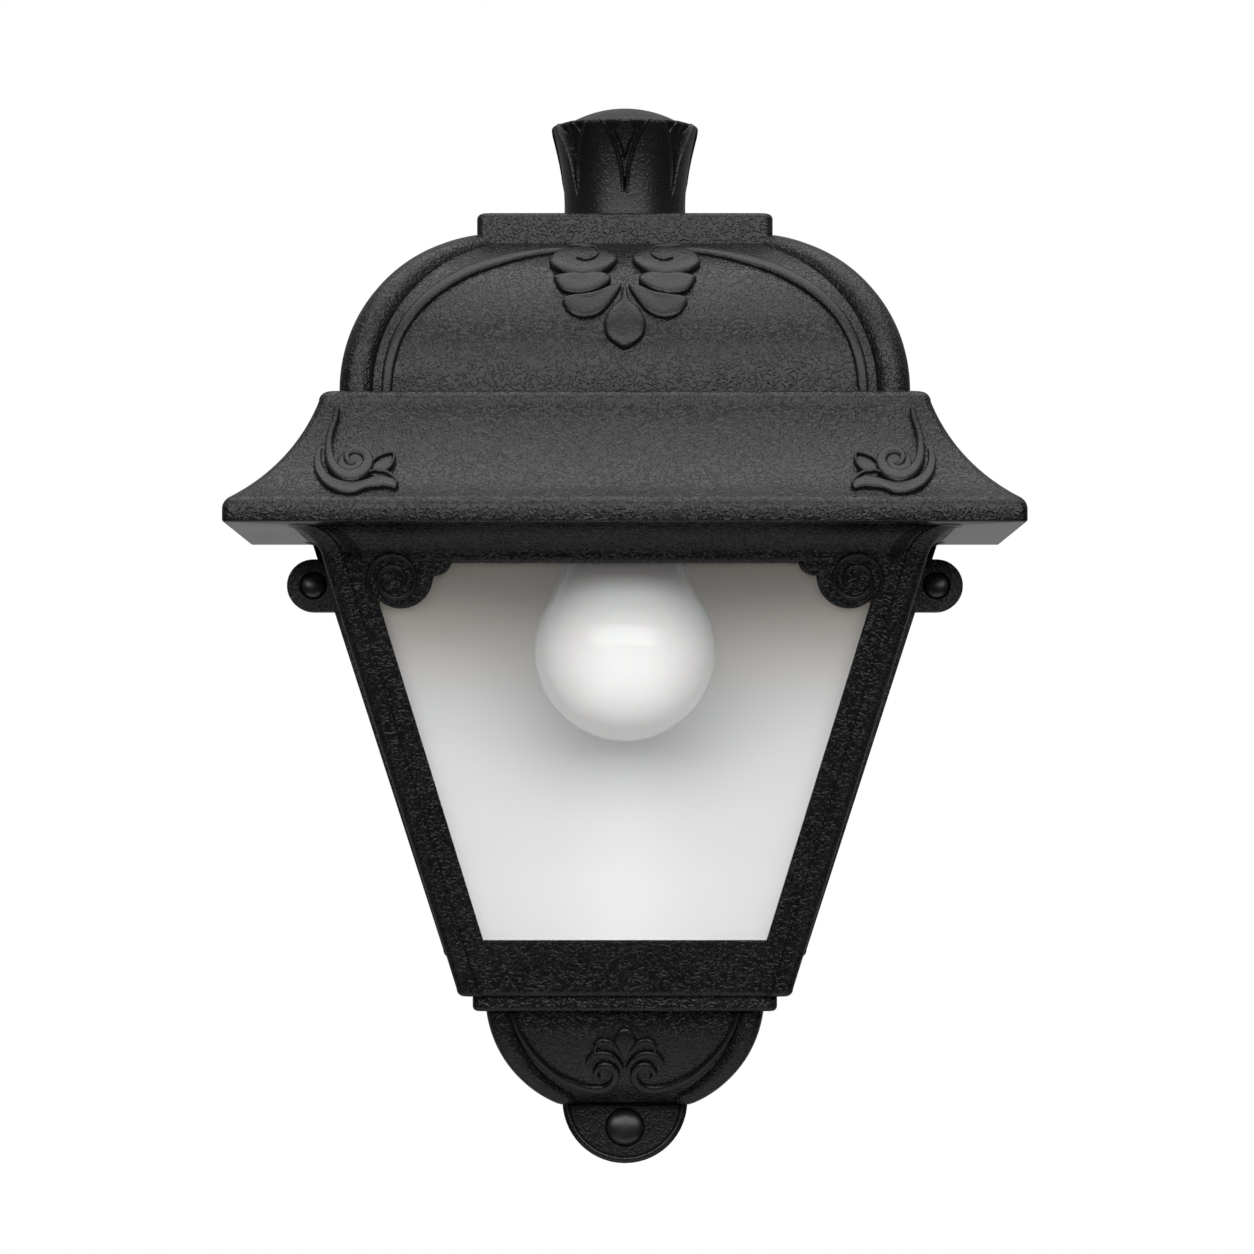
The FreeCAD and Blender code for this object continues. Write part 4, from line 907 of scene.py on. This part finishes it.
    def palmette(self) -> Piece:
        """Two flat scroll discs with curls, four lobes and a drop on the front of the dome."""
        ground = ArcGround(*self.dome)
        pads = ((self.volute, self.volute_h), (self.lobe_upper, self.lobe_upper_h),
                (self.lobe_lower, self.lobe_lower_h))
        grids = [pillow(ground, smooth(track, 96, closed=True), height, self.pad_fullness, dish=self.pad_dish)
                 for outline, height in pads for track in both(outline)]
        grids += [band(ground, track, self.curl_h, steps=160, even=True) for track in both(self.curl)]
        drop = smooth(whole(self.drop_half), 120, closed=True)
        grids.append(pillow(ground, drop, self.drop_h, self.drop_fullness))
        return emboss("roof_palmette", Body.ROOF, grids)

    def scrolls(self) -> Piece:
        """Scroll with stem, eye, outer strand and two outlined leaves at each front corner of the skirt."""
        centre, radius = self.skirt()
        ground = ArcGround(*centre, radius, hollow=True)
        eye = arc(self.eye[:2], self.eye[2], 0, 350, 36)
        grids = [band(ground, track, self.stem_h, fullness=3.4, steps=260) for track in both(self.stem)]
        grids += [band(ground, track, self.strip_h, fullness=4.0, steps=200) for track in both(self.strip)]
        for track in (*both(self.tail), *both(self.leaf)):
            grids.append(band(ground, track, self.leaf_h, steps=160, even=True))
            inside = smooth(track[:, :2], 80, closed=True)
            grids.append(pillow(ground, inside, self.leaf_floor_h, self.flat_fullness))
        grids += [pillow(ground, track, self.eye_h, self.flat_fullness) for track in both(eye)]
        return emboss("roof_scrolls", Body.ROOF, grids)

    def build(self) -> list[Piece]:
        """All pieces of the roof."""
        return [self.shell(), self.ribs(), self.beads(), self.palmette(), self.scrolls()]


@dataclass
class Cage:
    """Tapered cage with its rails, posts, scroll brackets, neck and ribbed cup."""

    seat_z: float = 74.9
    foot_z: float = -76.4
    foot_round: float = 2.5
    top_w: float = 99.6
    foot_w: float = 54.1
    wall: float = 4.0
    bead_w: float = 6.8
    bead_round: float = 0.9
    post_round: float = 3.4
    stile_w: float = 13.4
    stile_round: float = 0.8
    sunk: float = 1.2
    rear_stile: float = 20.0
    rear_bead: float = 13.4
    plate_t: float = 4.0
    rail_ease: float = 0.6
    rail_corner: float = 2.6
    sill_ease: float = 0.7
    base_corner: float = 2.4
    window_top: float = 63.6
    window_foot: float = -57.8
    floor_z: float = -60.8
    floor_t: float = 3.0
    cove_h: float = 10.5
    cove_r: float = 12.5
    lip_w: float = 108.7
    upstand: float = 4.0
    upstand_t: float = 2.0
    neck_w: float = 50.0
    neck_z: float = -81.3
    neck_round: float = 1.8
    cup: Circle = (5.563, -76.061, 38.0)
    cup_w: float = 43.2
    cup_tip: tuple[float, float] = (16.0, -112.6)
    cup_wall: float = 3.5
    cup_rib_r: float = 4.3
    cup_rib_sink: float = 1.8
    cup_rib_turn: tuple[float, float] = (-6.0, -74.0)
    ear_t: float = 6.5
    ear_z: float = -112.5
    ear_r: float = 21.0
    ear_rim_w: float = 1.4
    ear_rim_h: float = 2.3
    disc: Circle = (72.0, 59.2, 10.6)
    disc_turn: tuple[float, float] = (-36.0, -180.0)
    lobe: Circle = (60.6, 64.4, 5.3)
    lobe_turn: tuple[float, float] = (-83.0, -178.0)
    bracket_top: float = 66.5
    bracket_middle: tuple[float, float] = (71.0, 61.5)
    bracket_fullness: float = 16.0
    curl_eye: tuple[float, float] = (-74.0, 58.4)
    curl_r: tuple[float, float] = (9.0, 3.2)
    curl_turn: tuple[float, float] = (238.0, -370.0)
    curl_w: float = 0.8
    curl_h: float = 1.15
    cup_bead_h: float = 1.5
    cup_leaf_h: float = 1.4
    cup_petal_h: float = 1.6
    cup_bead: Track = (
        (-37.6, -81.6, 0.9), (-34.7, -88.9, 0.95), (-29.8, -96.0, 0.95), (-22.9, -102.5, 1.0),
        (-16.6, -105.8, 1.05), (-12.3, -107.4, 1.15), (-8.3, -107.8, 1.3), (-5.0, -106.5, 1.35),
        (-3.2, -103.9, 1.35), (-3.3, -101.1, 1.3), (-5.6, -99.4, 1.2), (-8.3, -99.7, 1.1),
        (-9.8, -101.8, 0.9), (-8.6, -103.6, 0.6))
    cup_petal_half: Track = (
        (0.0, -98.0), (-2.4, -93.3), (-3.7, -90.9), (-3.0, -88.9), (-1.7, -87.2), (0.0, -86.6))
    cup_leaf_upper: Track = (
        (-9.9, -94.8, 0.5), (-9.6, -92.4, 0.8), (-7.6, -91.3, 1.1), (-5.3, -91.6, 1.1), (-3.0, -93.3, 1.0),
        (-1.3, -95.6, 0.7), (-0.4, -97.9, 0.3))
    cup_leaf_lower: Track = (
        (-12.3, -100.3, 0.4), (-12.3, -97.9, 0.7), (-10.6, -96.2, 1.0), (-7.9, -95.5, 1.1),
        (-5.0, -96.0, 1.1), (-2.4, -97.7, 0.8), (-0.6, -100.2, 0.4))

    def slope(self) -> float:
        """How far the sides lean outwards per millimetre of height."""
        return (self.top_w - self.foot_w) / (self.seat_z - self.foot_z)

    def width(self, z: Union[float, Array]) -> Union[float, Array]:
        """Half width of the straight taper at a height."""
        return self.top_w + (z - self.seat_z) * self.slope()

    def cove(self, inset: float) -> Array:
        """Hollow arc under the eave, moved in by an inset."""
        cove_z = self.seat_z - self.cove_h
        return bow((self.width(cove_z) - inset, cove_z), (self.lip_w - inset, self.seat_z), self.cove_r, 14)

    def climb(self) -> tuple[Array, Array]:
        """Heights and half widths up a corner, as columns: rounded foot, straight taper, the cove's flare."""
        turn = np.linspace(0, np.pi / 2, 8)
        start = self.foot_z + self.foot_round
        foot_z = self.foot_z + self.foot_round * (1 - np.cos(turn))
        foot_w = self.width(start) - self.foot_round * (1 - np.sin(turn))
        flare = self.cove(0.0)
        flare = flare[flare[:, 1] <= self.seat_z]
        straight = np.linspace(start, self.seat_z - self.cove_h, 24)[1:-1]
        z = np.concatenate([foot_z, straight, flare[:, 1]])[:, None]
        width = np.concatenate([foot_w, self.width(straight), flare[:, 0]])[:, None]
        return z, width

    def upright(self, profile: Array, side: int, at_wall: bool) -> Array:
        """Section carried up the taper.

        Args:
            profile: Points of (inset from the side, y at the wall or else inset from the front).
            side: 1 for the right and -1 for the left.
            at_wall: Whether the section keeps its distance from the wall.

        Returns:
            Grid of shape (heights, profile points, 3).
        """
        z, width = self.climb()
        x = side * (width - profile[:, 0][None])
        y = profile[:, 1][None] - width * (not at_wall)
        return np.stack([x, np.broadcast_to(y, x.shape), np.broadcast_to(z, x.shape)], axis=-1)

    def post_profile(self) -> Array:
        """L section of a corner post: rounded bead at the corner, a step and a flat band on each side."""
        edge, bead = self.stile_round, self.bead_round
        half = np.concatenate([
            [(self.stile_w, self.wall)],
            arc((self.stile_w - edge, self.sunk + edge), edge, 0, -90, 5),
            [(self.bead_w + 1.2, self.sunk), (self.bead_w + 0.5, self.sunk - 0.1)],
            arc((self.bead_w - bead, bead), bead, 0, -90, 5),
            arc((self.post_round, self.post_round - 0.3), self.post_round, -90, -135, 6)])
        return np.concatenate([half, half[::-1][1:, ::-1], [(self.wall, self.wall)]])

    def stile_profile(self) -> Array:
        """Section of a stile at the wall: bead, step and flat band."""
        bead, end = -self.rear_bead, -self.rear_stile
        return np.array([
            (0.6, -self.plate_t), (0.0, -self.plate_t - 0.6), (0.0, bead + 1.2), (0.4, bead + 0.4),
            (self.sunk + 0.7, bead), (self.sunk, bead - 0.9), (self.sunk, end + 0.7), (self.sunk + 0.7, end),
            (self.wall, end), (self.wall, -self.plate_t)])

    def posts(self) -> Piece:
        """Two corner posts and two stiles at the wall, each a section carried up the taper."""
        skin = Skin()
        for side in (1, -1):
            skin.loft(self.upright(self.post_profile(), side, at_wall=False))
            skin.loft(self.upright(self.stile_profile(), side, at_wall=True))
        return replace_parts(skin.build("cage_posts", Body.LANTERN), "body_frame")

    def rails(self) -> Piece:
        """Top rail with its cove and upstand, carried round the plan."""
        top, foot = self.seat_z, self.window_top
        rim = self.width(top) - self.wall
        crest, outer = top + self.upstand, rim + self.upstand_t
        foot_w = self.width(foot)
        face = foot_w - self.sunk
        section = np.concatenate([
            [(foot_w - self.wall, foot), (face - self.rail_ease, foot), (face, foot + self.rail_ease)],
            self.cove(self.sunk),
            [(outer, top), (outer, crest), (rim, crest)]])
        grid = pavilion(section, self.rail_corner, -self.plate_t)
        return Skin().loft(grid).build("cage_top_rail", Body.LANTERN)

    def base(self) -> Piece:
        """Bottom rail, foot, neck, hollow cup and floor of the lamp chamber, carried round the plan."""
        cup_w, cup_z, cup_r = self.cup
        sill, sill_w = self.window_foot, self.width(self.window_foot)
        face, ease = sill_w - self.sunk, self.sill_ease
        foot = (self.width(self.foot_z + self.foot_round) - self.sunk - self.foot_round,
                self.foot_z + self.foot_round)
        neck = (self.neck_w - self.neck_round, self.neck_z + self.neck_round)
        inner_r = cup_r - self.cup_wall
        inner_tip = self.cup_tip[1] + self.cup_wall
        low = -90 + math.degrees(math.acos((cup_z - inner_tip) / inner_r))
        ceiling = self.floor_z - self.floor_t
        section = np.concatenate([
            [(sill_w - self.wall, sill), (face - ease, sill), (face - 0.2, sill - ease)],
            arc(foot, self.foot_round, 0, -90, 7),
            [(self.neck_w, self.foot_z)],
            arc(neck, self.neck_round, 0, -90, 6),
            arc((cup_w, cup_z), cup_r, bearing(self.cup, (self.cup_w, self.neck_z)),
                bearing(self.cup, self.cup_tip), 32),
            [(0.0, self.cup_tip[1]), (0.0, inner_tip)],
            arc((cup_w, cup_z), inner_r, low, -9, 18),
            [(cup_w + inner_r - 0.5, ceiling), (0.0, ceiling), (0.0, self.floor_z),
             (self.width(self.floor_z) - self.wall, self.floor_z)]])
        grid = pavilion(section, self.base_corner, -self.plate_t)
        return Skin().loft(grid).build("cage_base", Body.LANTERN)

    def brackets(self) -> Piece:
        """Scroll plates in the upper corners of the front window: a disc and a lobe in one outline."""
        ground = PlaneGround(self.seat_z, self.top_w, self.slope())
        disc, lobe, top = self.disc, self.lobe, self.bracket_top
        outline = np.concatenate([
            [(85.0, top), (84.5, 60.0), (82.6, 54.5)],
            arc(disc[:2], disc[2], *self.disc_turn, 40),
            arc(lobe[:2], lobe[2], *self.lobe_turn, 24),
            np.linspace((lobe[0] - lobe[2], top), (84.0, top + 0.3), 30)])
        pads = [pillow(ground, track, -self.sunk, self.bracket_fullness, bottom=-self.wall, centre=centre[0])
                for track, centre in zip(both(outline), both([self.bracket_middle]))]
        return emboss("cage_brackets", Body.LANTERN, pads, sharp=50)

    def curls(self) -> Piece:
        """Raised line on each scroll plate, a spiral: radius and angle run evenly from rim to eye."""
        ground = PlaneGround(self.seat_z, self.top_w - self.sunk, self.slope())
        angle = np.radians(np.linspace(*self.curl_turn, 40))
        radius = np.linspace(*self.curl_r, 40)
        width = self.curl_w * np.minimum(1.0, np.linspace(0.3, 9.0, 40))
        along, z = self.curl_eye
        spiral = np.stack([along + radius * np.cos(angle), z + radius * np.sin(angle), width], axis=1)
        return emboss("cage_curls", Body.LANTERN, [
            band(ground, track, self.curl_h, fullness=2.4, steps=320, even=True) for track in both(spiral)])

    def cup_ribs(self) -> Piece:
        """Round ribs along the two hips of the cup: tubes on the arc, sunk towards its centre.

        Over the last eighth of its length a rib's radius falls as a square root, so that it runs out
        in the cup.
        """
        line = arc(self.cup[:2], self.cup[2] - self.cup_rib_sink, *self.cup_rib_turn, 60)
        radius = self.cup_rib_r * np.sqrt(np.clip(np.linspace(8.0, 0.02, len(line)), 0, 1))
        return emboss("cup_ribs", Body.LANTERN, hip_ribs(line, radius))

    def cup_ornament(self) -> Piece:
        """Beads that end in curls, and the small palmette on the front of the cup."""
        ground = ArcGround(*self.cup)
        petal = smooth(whole(self.cup_petal_half), 96, closed=True)
        grids = [band(ground, track, self.cup_bead_h, steps=260) for track in both(self.cup_bead)]
        grids += [band(ground, track, self.cup_leaf_h, fullness=3.0)
                  for leaf in (self.cup_leaf_upper, self.cup_leaf_lower) for track in both(leaf)]
        grids.append(pillow(ground, petal, self.cup_petal_h, 4.0))
        return emboss("cup_ornament", Body.LANTERN, grids)

    def ear_rim(self) -> Piece:
        """Raised rim along the edge of the ear below the cup, a strip on an arc of the upright plate."""
        ground = PlaneGround(0.0, self.ear_t, 0.0)
        line = arc((0.0, self.ear_z), self.ear_r - self.ear_rim_w, 180, 360, 41)
        track = np.column_stack([line, np.full(len(line), self.ear_rim_w)])
        strip = band(ground, track, self.ear_rim_h, fullness=2.0, steps=160, even=True)
        return emboss("ear_rim", Body.LANTERN, [strip])

    def build(self) -> list[Piece]:
        """All pieces of the cage."""
        return [self.posts(), self.rails(), self.base(), self.brackets(), self.curls(), self.cup_ribs(),
                self.cup_ornament(), self.ear_rim()]


@dataclass
class Finial:
    """Round knob with petals, notches between them and a small pointed leaf in each notch."""

    y: float = -25.0
    foot_z: float = 182.1
    base_r: float = 20.3
    foot_ease: float = 0.8
    rim_r: float = 24.2
    rim_z: float = 213.9
    flare_r: float = 90.0
    lip: float = 1.5
    brim: float = 2.4
    groove: float = 1.2
    groove_w: float = 0.3
    crown_h: float = 5.7
    petals: int = 7
    notch_foot: float = 188.5
    notch_half: float = 8.6
    notch_least: float = 0.2
    notch_power: float = 2.5
    notch_run_in: float = 0.25
    depth: float = 2.4
    edge: float = 0.5
    bead_h: float = 0.7
    bead_w: float = 0.45
    leaf_half: float = 6.4
    leaf_len: float = 11.0
    leaf_power: float = 0.7
    leaf_margin: float = 1.3
    leaf_h: float = 0.9
    ridge_half: float = 2.2
    ridge_h: float = 0.5
    rim_ease: float = 3.5
    rim_share: float = 0.25
    flare_rows: int = 64
    lip_rows: int = 9
    columns: int = 644

    def side(self) -> Array:
        """Flared side from foot to rim, rounded lip and domed crown, as (radius, height)."""
        rim = (self.rim_r, self.rim_z - self.lip)
        foot = [(0.0, self.foot_z), (self.base_r - self.foot_ease, self.foot_z)]
        flare = bow((self.base_r, self.foot_z), rim, self.flare_r, self.flare_rows)
        brim_r = self.rim_r - self.brim
        crown_r, crown_h = brim_r - self.groove_w, self.crown_h + self.groove
        bulge = (crown_r ** 2 + crown_h ** 2) / (2 * crown_h)
        edge = math.degrees(math.acos(crown_r / bulge))
        crown = arc((0.0, self.rim_z + self.crown_h - bulge), bulge, edge, 90, 18)
        lip = arc((self.rim_r - self.lip, self.rim_z - self.lip), self.lip, 0, 90, self.lip_rows)
        brim = [(brim_r, self.rim_z), (brim_r - 0.2, self.rim_z - self.groove)]
        return np.concatenate([foot, flare, lip, brim, crown])

    def build(self) -> list[Piece]:
        """Profile turned about the axis, pressed in inside the notches.

        A notch's half width grows as a power of the height above its foot. Inside it the radius drops by the
        depth, and along its edges it rises by a small bead. A pointed leaf, whose half width shrinks towards
        the rim and stays a margin inside the notch, stands out of the notch's floor with a ridge down its
        middle. All of it eases off towards the rim, which stays nearly round, and runs in from nothing at the
        notch's foot.
        """
        profile = self.side()
        angle = np.linspace(0, 2 * np.pi, self.columns, endpoint=False)[None]
        radius, z = profile[:, :1], profile[:, 1:]
        pitch = 2 * np.pi / self.petals
        off = np.abs((angle + np.pi / 2 + pitch / 2) % pitch - pitch / 2) * radius
        climb = np.clip((z - self.notch_foot) / (self.rim_z + 1 - self.notch_foot), 0, 1)
        half = self.notch_half * climb ** self.notch_power + self.notch_least * (climb > 0)
        inside = np.clip((half - off) / self.edge + 0.5, 0, 1) * (climb > 0)
        bead = self.bead_h * np.exp(-((off - half - self.edge) / self.bead_w) ** 2) * (climb > 0)
        tip = self.leaf_half * np.clip((self.rim_z + 1.0 - z) / self.leaf_len, 0, 1) ** self.leaf_power
        leaf_half = np.maximum(np.minimum(half - self.leaf_margin, tip), 0.0)
        leaf = np.clip((leaf_half - off) / self.edge + 0.3, 0, 1) * (leaf_half > 0.2)
        ridge = np.clip(1 - off / self.ridge_half, 0, 1)
        outer = np.arange(len(profile))[:, None] < 2 + self.flare_rows + self.lip_rows
        ease = self.rim_share + (1 - self.rim_share) * np.clip((self.rim_z - z) / self.rim_ease, 0, 1)
        ease = ease * np.clip(climb / self.notch_run_in, 0, 1)
        swell = leaf * (self.leaf_h + self.ridge_h * ridge) * inside
        radius = radius + outer * ease * (bead - self.depth * inside + swell)
        grid = revolve(radius, z, 0.0, self.y, self.columns)
        return [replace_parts(emboss("finial_knob", Body.FINIAL, [grid], sharp=50), "finial")]


@dataclass
class Lamp:
    """Opal lamp that hangs head down, with its threaded cap."""

    y: float = -45.0
    foot_z: float = 7.5
    bulb_r: float = 30.0
    collar_r: float = 14.5
    collar_h: float = 4.0
    cap_z: float = 88.5
    contact_z: float = 115.5
    cheek: float = 30.0
    neck_r: float = 122.0
    thread_r: float = 12.4
    thread_h: float = 0.6
    thread_pitch: float = 3.6
    edge: float = 0.5
    tip: Track = ((9.0, 3.5), (5.0, 2.0), (4.6, 0.4), (3.8, 0.0), (0.0, 0.0))
    cap_columns: int = 72

    def glass(self) -> Piece:
        """Sphere up to the cheek, then a hollow arc to the collar, turned about the lamp's axis."""
        ball = arc((0.0, self.foot_z + self.bulb_r), self.bulb_r, -90, self.cheek, 60)
        neck = bow(ball[-1], (self.collar_r, self.cap_z - self.collar_h), self.neck_r, 24)
        collar = [(self.collar_r, self.cap_z - self.edge), (self.collar_r - self.edge, self.cap_z),
                  (0.0, self.cap_z)]
        profile = np.concatenate([ball, neck[1:], collar])
        skin = Skin().grid(revolve(profile[:, :1], profile[:, 1:], 0.0, self.y, 128))
        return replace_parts(skin.build("bulb_glass", Body.BULB, Slot.OPAL), "bulb")

    def cap(self) -> Piece:
        """Cap whose radius swings with height less the turn, a screw thread, up to the contact tip."""
        top, foot = self.contact_z, self.cap_z - 0.2
        z = np.linspace(foot, top - 6, 90)[:, None]
        angle = np.linspace(0, 2 * np.pi, self.cap_columns, endpoint=False)[None]
        fade = np.clip((z - self.cap_z - 2) / 2, 0, 1) * np.clip((top - 7 - z) / 2, 0, 1)
        thread = self.thread_r + self.thread_h * np.sin(2 * np.pi * z / self.thread_pitch - angle) * fade
        tip = np.array([(tip_r, top - below) for tip_r, below in self.tip])
        closing = np.broadcast_to(tip[:, :1], (len(tip), self.cap_columns))
        radius = np.concatenate([np.zeros((1, self.cap_columns)), thread, closing])
        height = np.concatenate([[[foot]], z, tip[:, 1:]])
        skin = Skin().grid(revolve(radius, height, 0.0, self.y, self.cap_columns))
        return skin.build("bulb_cap", Body.BULB, Slot.STEEL)


@dataclass
class ScrewCap:
    """Domed cap over a wall screw."""

    name: str
    body: Body
    x: float
    z: float
    radius: float
    seat_y: float = -2.5
    dome_y: float = -4.8
    top_y: float = -7.5
    edge: float = 0.3

    def build(self) -> Piece:
        """Rounded foot, short wall and elliptic dome turned about the screw's axis."""
        angle = np.linspace(0, np.pi / 2, 18)
        dome = np.stack([self.radius * np.cos(angle),
                         self.dome_y + (self.top_y - self.dome_y) * np.sin(angle)], axis=1)
        profile = np.concatenate([[(0.0, self.seat_y), (self.radius - self.edge, self.seat_y),
                                   (self.radius, self.seat_y - self.edge)], dome])
        grid = revolve(profile[:, :1], profile[:, 1:], self.x, self.z, 72)[..., [0, 2, 1]]
        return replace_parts(emboss(self.name + "_dome", self.body, [grid]), self.name)


SCREW_CAPS = (ScrewCap("screw_cap_right", Body.CAP_RIGHT, 105.22, 60.75, 4.6),
              ScrewCap("screw_cap_left", Body.CAP_LEFT, -105.22, 60.75, 4.6),
              ScrewCap("screw_cap_lower", Body.CAP_LOWER, 0.0, -121.5, 6.5))


@dataclass
class Studio:
    """Camera at the photograph's angle, pale floor, soft lamps and a pale surround, in metres."""

    eye: tuple[float, float, float] = (0.0007, -1.747, -0.0268)
    pitch: float = 2.42
    lens: float = 148.2
    aim: tuple[float, float, float] = (0.0, -0.06, 0.04)
    floor_z: float = -1.5
    floor_points: int = 33

    def camera(self) -> None:
        """Places the camera."""
        data = bpy.data.cameras.new("camera")
        data.lens = self.lens
        data.sensor_width = 36.0
        data.clip_start = 0.05
        eye = bpy.data.objects.new("camera", data)
        eye.location = self.eye
        eye.rotation_euler = (math.radians(90 + self.pitch), 0.0, 0.0)
        bpy.context.scene.collection.objects.link(eye)
        bpy.context.scene.camera = eye

    def lamp(self, name: str, place: Sequence[float], size: tuple[float, float], power: float) -> None:
        """Adds a soft lamp that looks at the lantern.

        Args:
            name: Lamp name.
            place: Where it stands.
            size: Width and height of its face.
            power: Watts.
        """
        data = bpy.data.lights.new(name, "AREA")
        data.shape = "RECTANGLE"
        data.size, data.size_y = size
        data.energy = power
        lamp = bpy.data.objects.new(name, data)
        lamp.location = place
        ahead = np.array(self.aim) - np.array(place)
        yaw = math.atan2(ahead[1], ahead[0]) - math.pi / 2
        tilt = math.atan2(ahead[2], math.hypot(ahead[0], ahead[1])) + math.pi / 2
        lamp.rotation_euler = (tilt, 0.0, yaw)
        bpy.context.scene.collection.objects.link(lamp)

    def surround(self) -> None:
        """World: white for the eye; for the rest a soft light from above and from the pale wall behind."""
        world = bpy.data.worlds.new("surround")
        bpy.context.scene.world = world
        world.use_nodes = True
        world.node_tree.nodes.clear()
        tree = Tree(world.node_tree)
        way = tree.out(tree.node("ShaderNodeTexCoord"), "Generated")
        above = tree.out(tree.node("ShaderNodeMapRange", {
            "Value": tree.part(way, "Z"), "From Min": 0.0, "From Max": 0.80, "To Min": 0.03, "To Max": 0.85}))
        behind = tree.out(tree.node("ShaderNodeMapRange", {
            "Value": tree.part(way, "Y"), "From Min": 0.10, "From Max": 0.70, "To Min": 0.0, "To Max": 0.30}))
        light = tree.out(tree.node("ShaderNodeBackground", {"Strength": above.math("MAXIMUM", behind)}))
        white = tree.out(tree.node("ShaderNodeBackground", {"Color": (1.0, 1.0, 1.0, 1.0), "Strength": 1.0}))
        seen = tree.out(tree.node("ShaderNodeLightPath"), "Is Camera Ray")
        mixed = tree.out(tree.node("ShaderNodeMixShader", {"Fac": seen, 1: light, 2: white}))
        tree.node("ShaderNodeOutputWorld", {"Surface": mixed})

    def floor(self) -> None:
        """Pale floor below the lantern, a shallow sweep that rises a little at its far edge."""
        count = self.floor_points
        x, y = np.meshgrid(np.linspace(-1.6, 1.6, count), np.linspace(-1.6, 0.5, count))
        z = self.floor_z + 0.02 * np.clip((y - 0.2) / 0.3, 0, 1) ** 2
        mesh = bpy.data.meshes.new("floor")
        mesh.from_pydata(np.stack([x, y, z], axis=-1).reshape(-1, 3).tolist(), [],
                         quads(np.arange(count * count).reshape(count, count)))
        mesh.shade_smooth()
        floor = bpy.data.objects.new("floor", mesh)
        bpy.context.scene.collection.objects.link(floor)
        graph = Graph("floor")
        tone = graph.mix(graph.noise(3.0, detail=2.0), (0.80, 0.80, 0.80), (0.84, 0.84, 0.84))
        mesh.materials.append(graph.surface(Base_Color=tone, Roughness=0.8))

    def build(self) -> None:
        """Camera, floor, lamps and surround."""
        self.camera()
        self.floor()
        self.lamp("bank", place=(0.0, -1.65, 0.72), size=(3.2, 1.2), power=57.0)
        self.lamp("top", place=(0.0, -0.2, 1.6), size=(1.6, 1.6), power=25.0)
        self.surround()
        bpy.context.scene.view_settings.view_transform = "Standard"


def soften(node: Piece, width: float) -> None:
    """Rounds the edges of a CAD node with live modifiers: welds its triangles, joins flat ones, bevels.

    Args:
        node: The CAD node's object.
        width: Width of the rounding in millimetres.
    """
    weld = node.modifiers.new("weld", "WELD")
    weld.merge_threshold = 2e-6
    flat = node.modifiers.new("flat", "DECIMATE")
    flat.decimate_type = "DISSOLVE"
    flat.angle_limit = math.radians(0.6)
    bevel = node.modifiers.new("round", "BEVEL")
    bevel.width = width * MM
    bevel.segments = 3
    bevel.limit_method = "ANGLE"
    bevel.angle_limit = math.radians(40)


def wear(piece: Piece, finish: Finish) -> None:
    """Gives a piece one finish."""
    piece.data.materials.clear()
    piece.data.materials.append(finish)
    LOG.info("%s wears %s", piece.name, finish.name)


def main() -> None:
    """Builds every sub-assembly, dresses it and sets the studio."""
    logging.basicConfig(level=logging.INFO, format="%(name)s: %(message)s")
    finishes = {finish.name: finish.material() for finish in FINISHES}
    for sub_assembly in (Roof(), Cage(), Finial()):
        for piece in sub_assembly.build():
            wear(piece, finishes["calm_resin" if piece.name in CALM_PIECES else "black_resin"])
    for screw_cap in SCREW_CAPS:
        wear(screw_cap.build(), finishes["satin_resin"])
    lamp = Lamp()
    wear(lamp.glass(), finishes["opal_bulb"])
    wear(lamp.cap(), finishes["plated_steel"])
    for finish, nodes in WORN_BY_NODES.items():
        for name in nodes:
            wear(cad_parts[name], finishes[finish])
    soften(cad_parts["wall_plate"], 0.7)
    Studio().build()


if __name__ == "__main__":
    main()
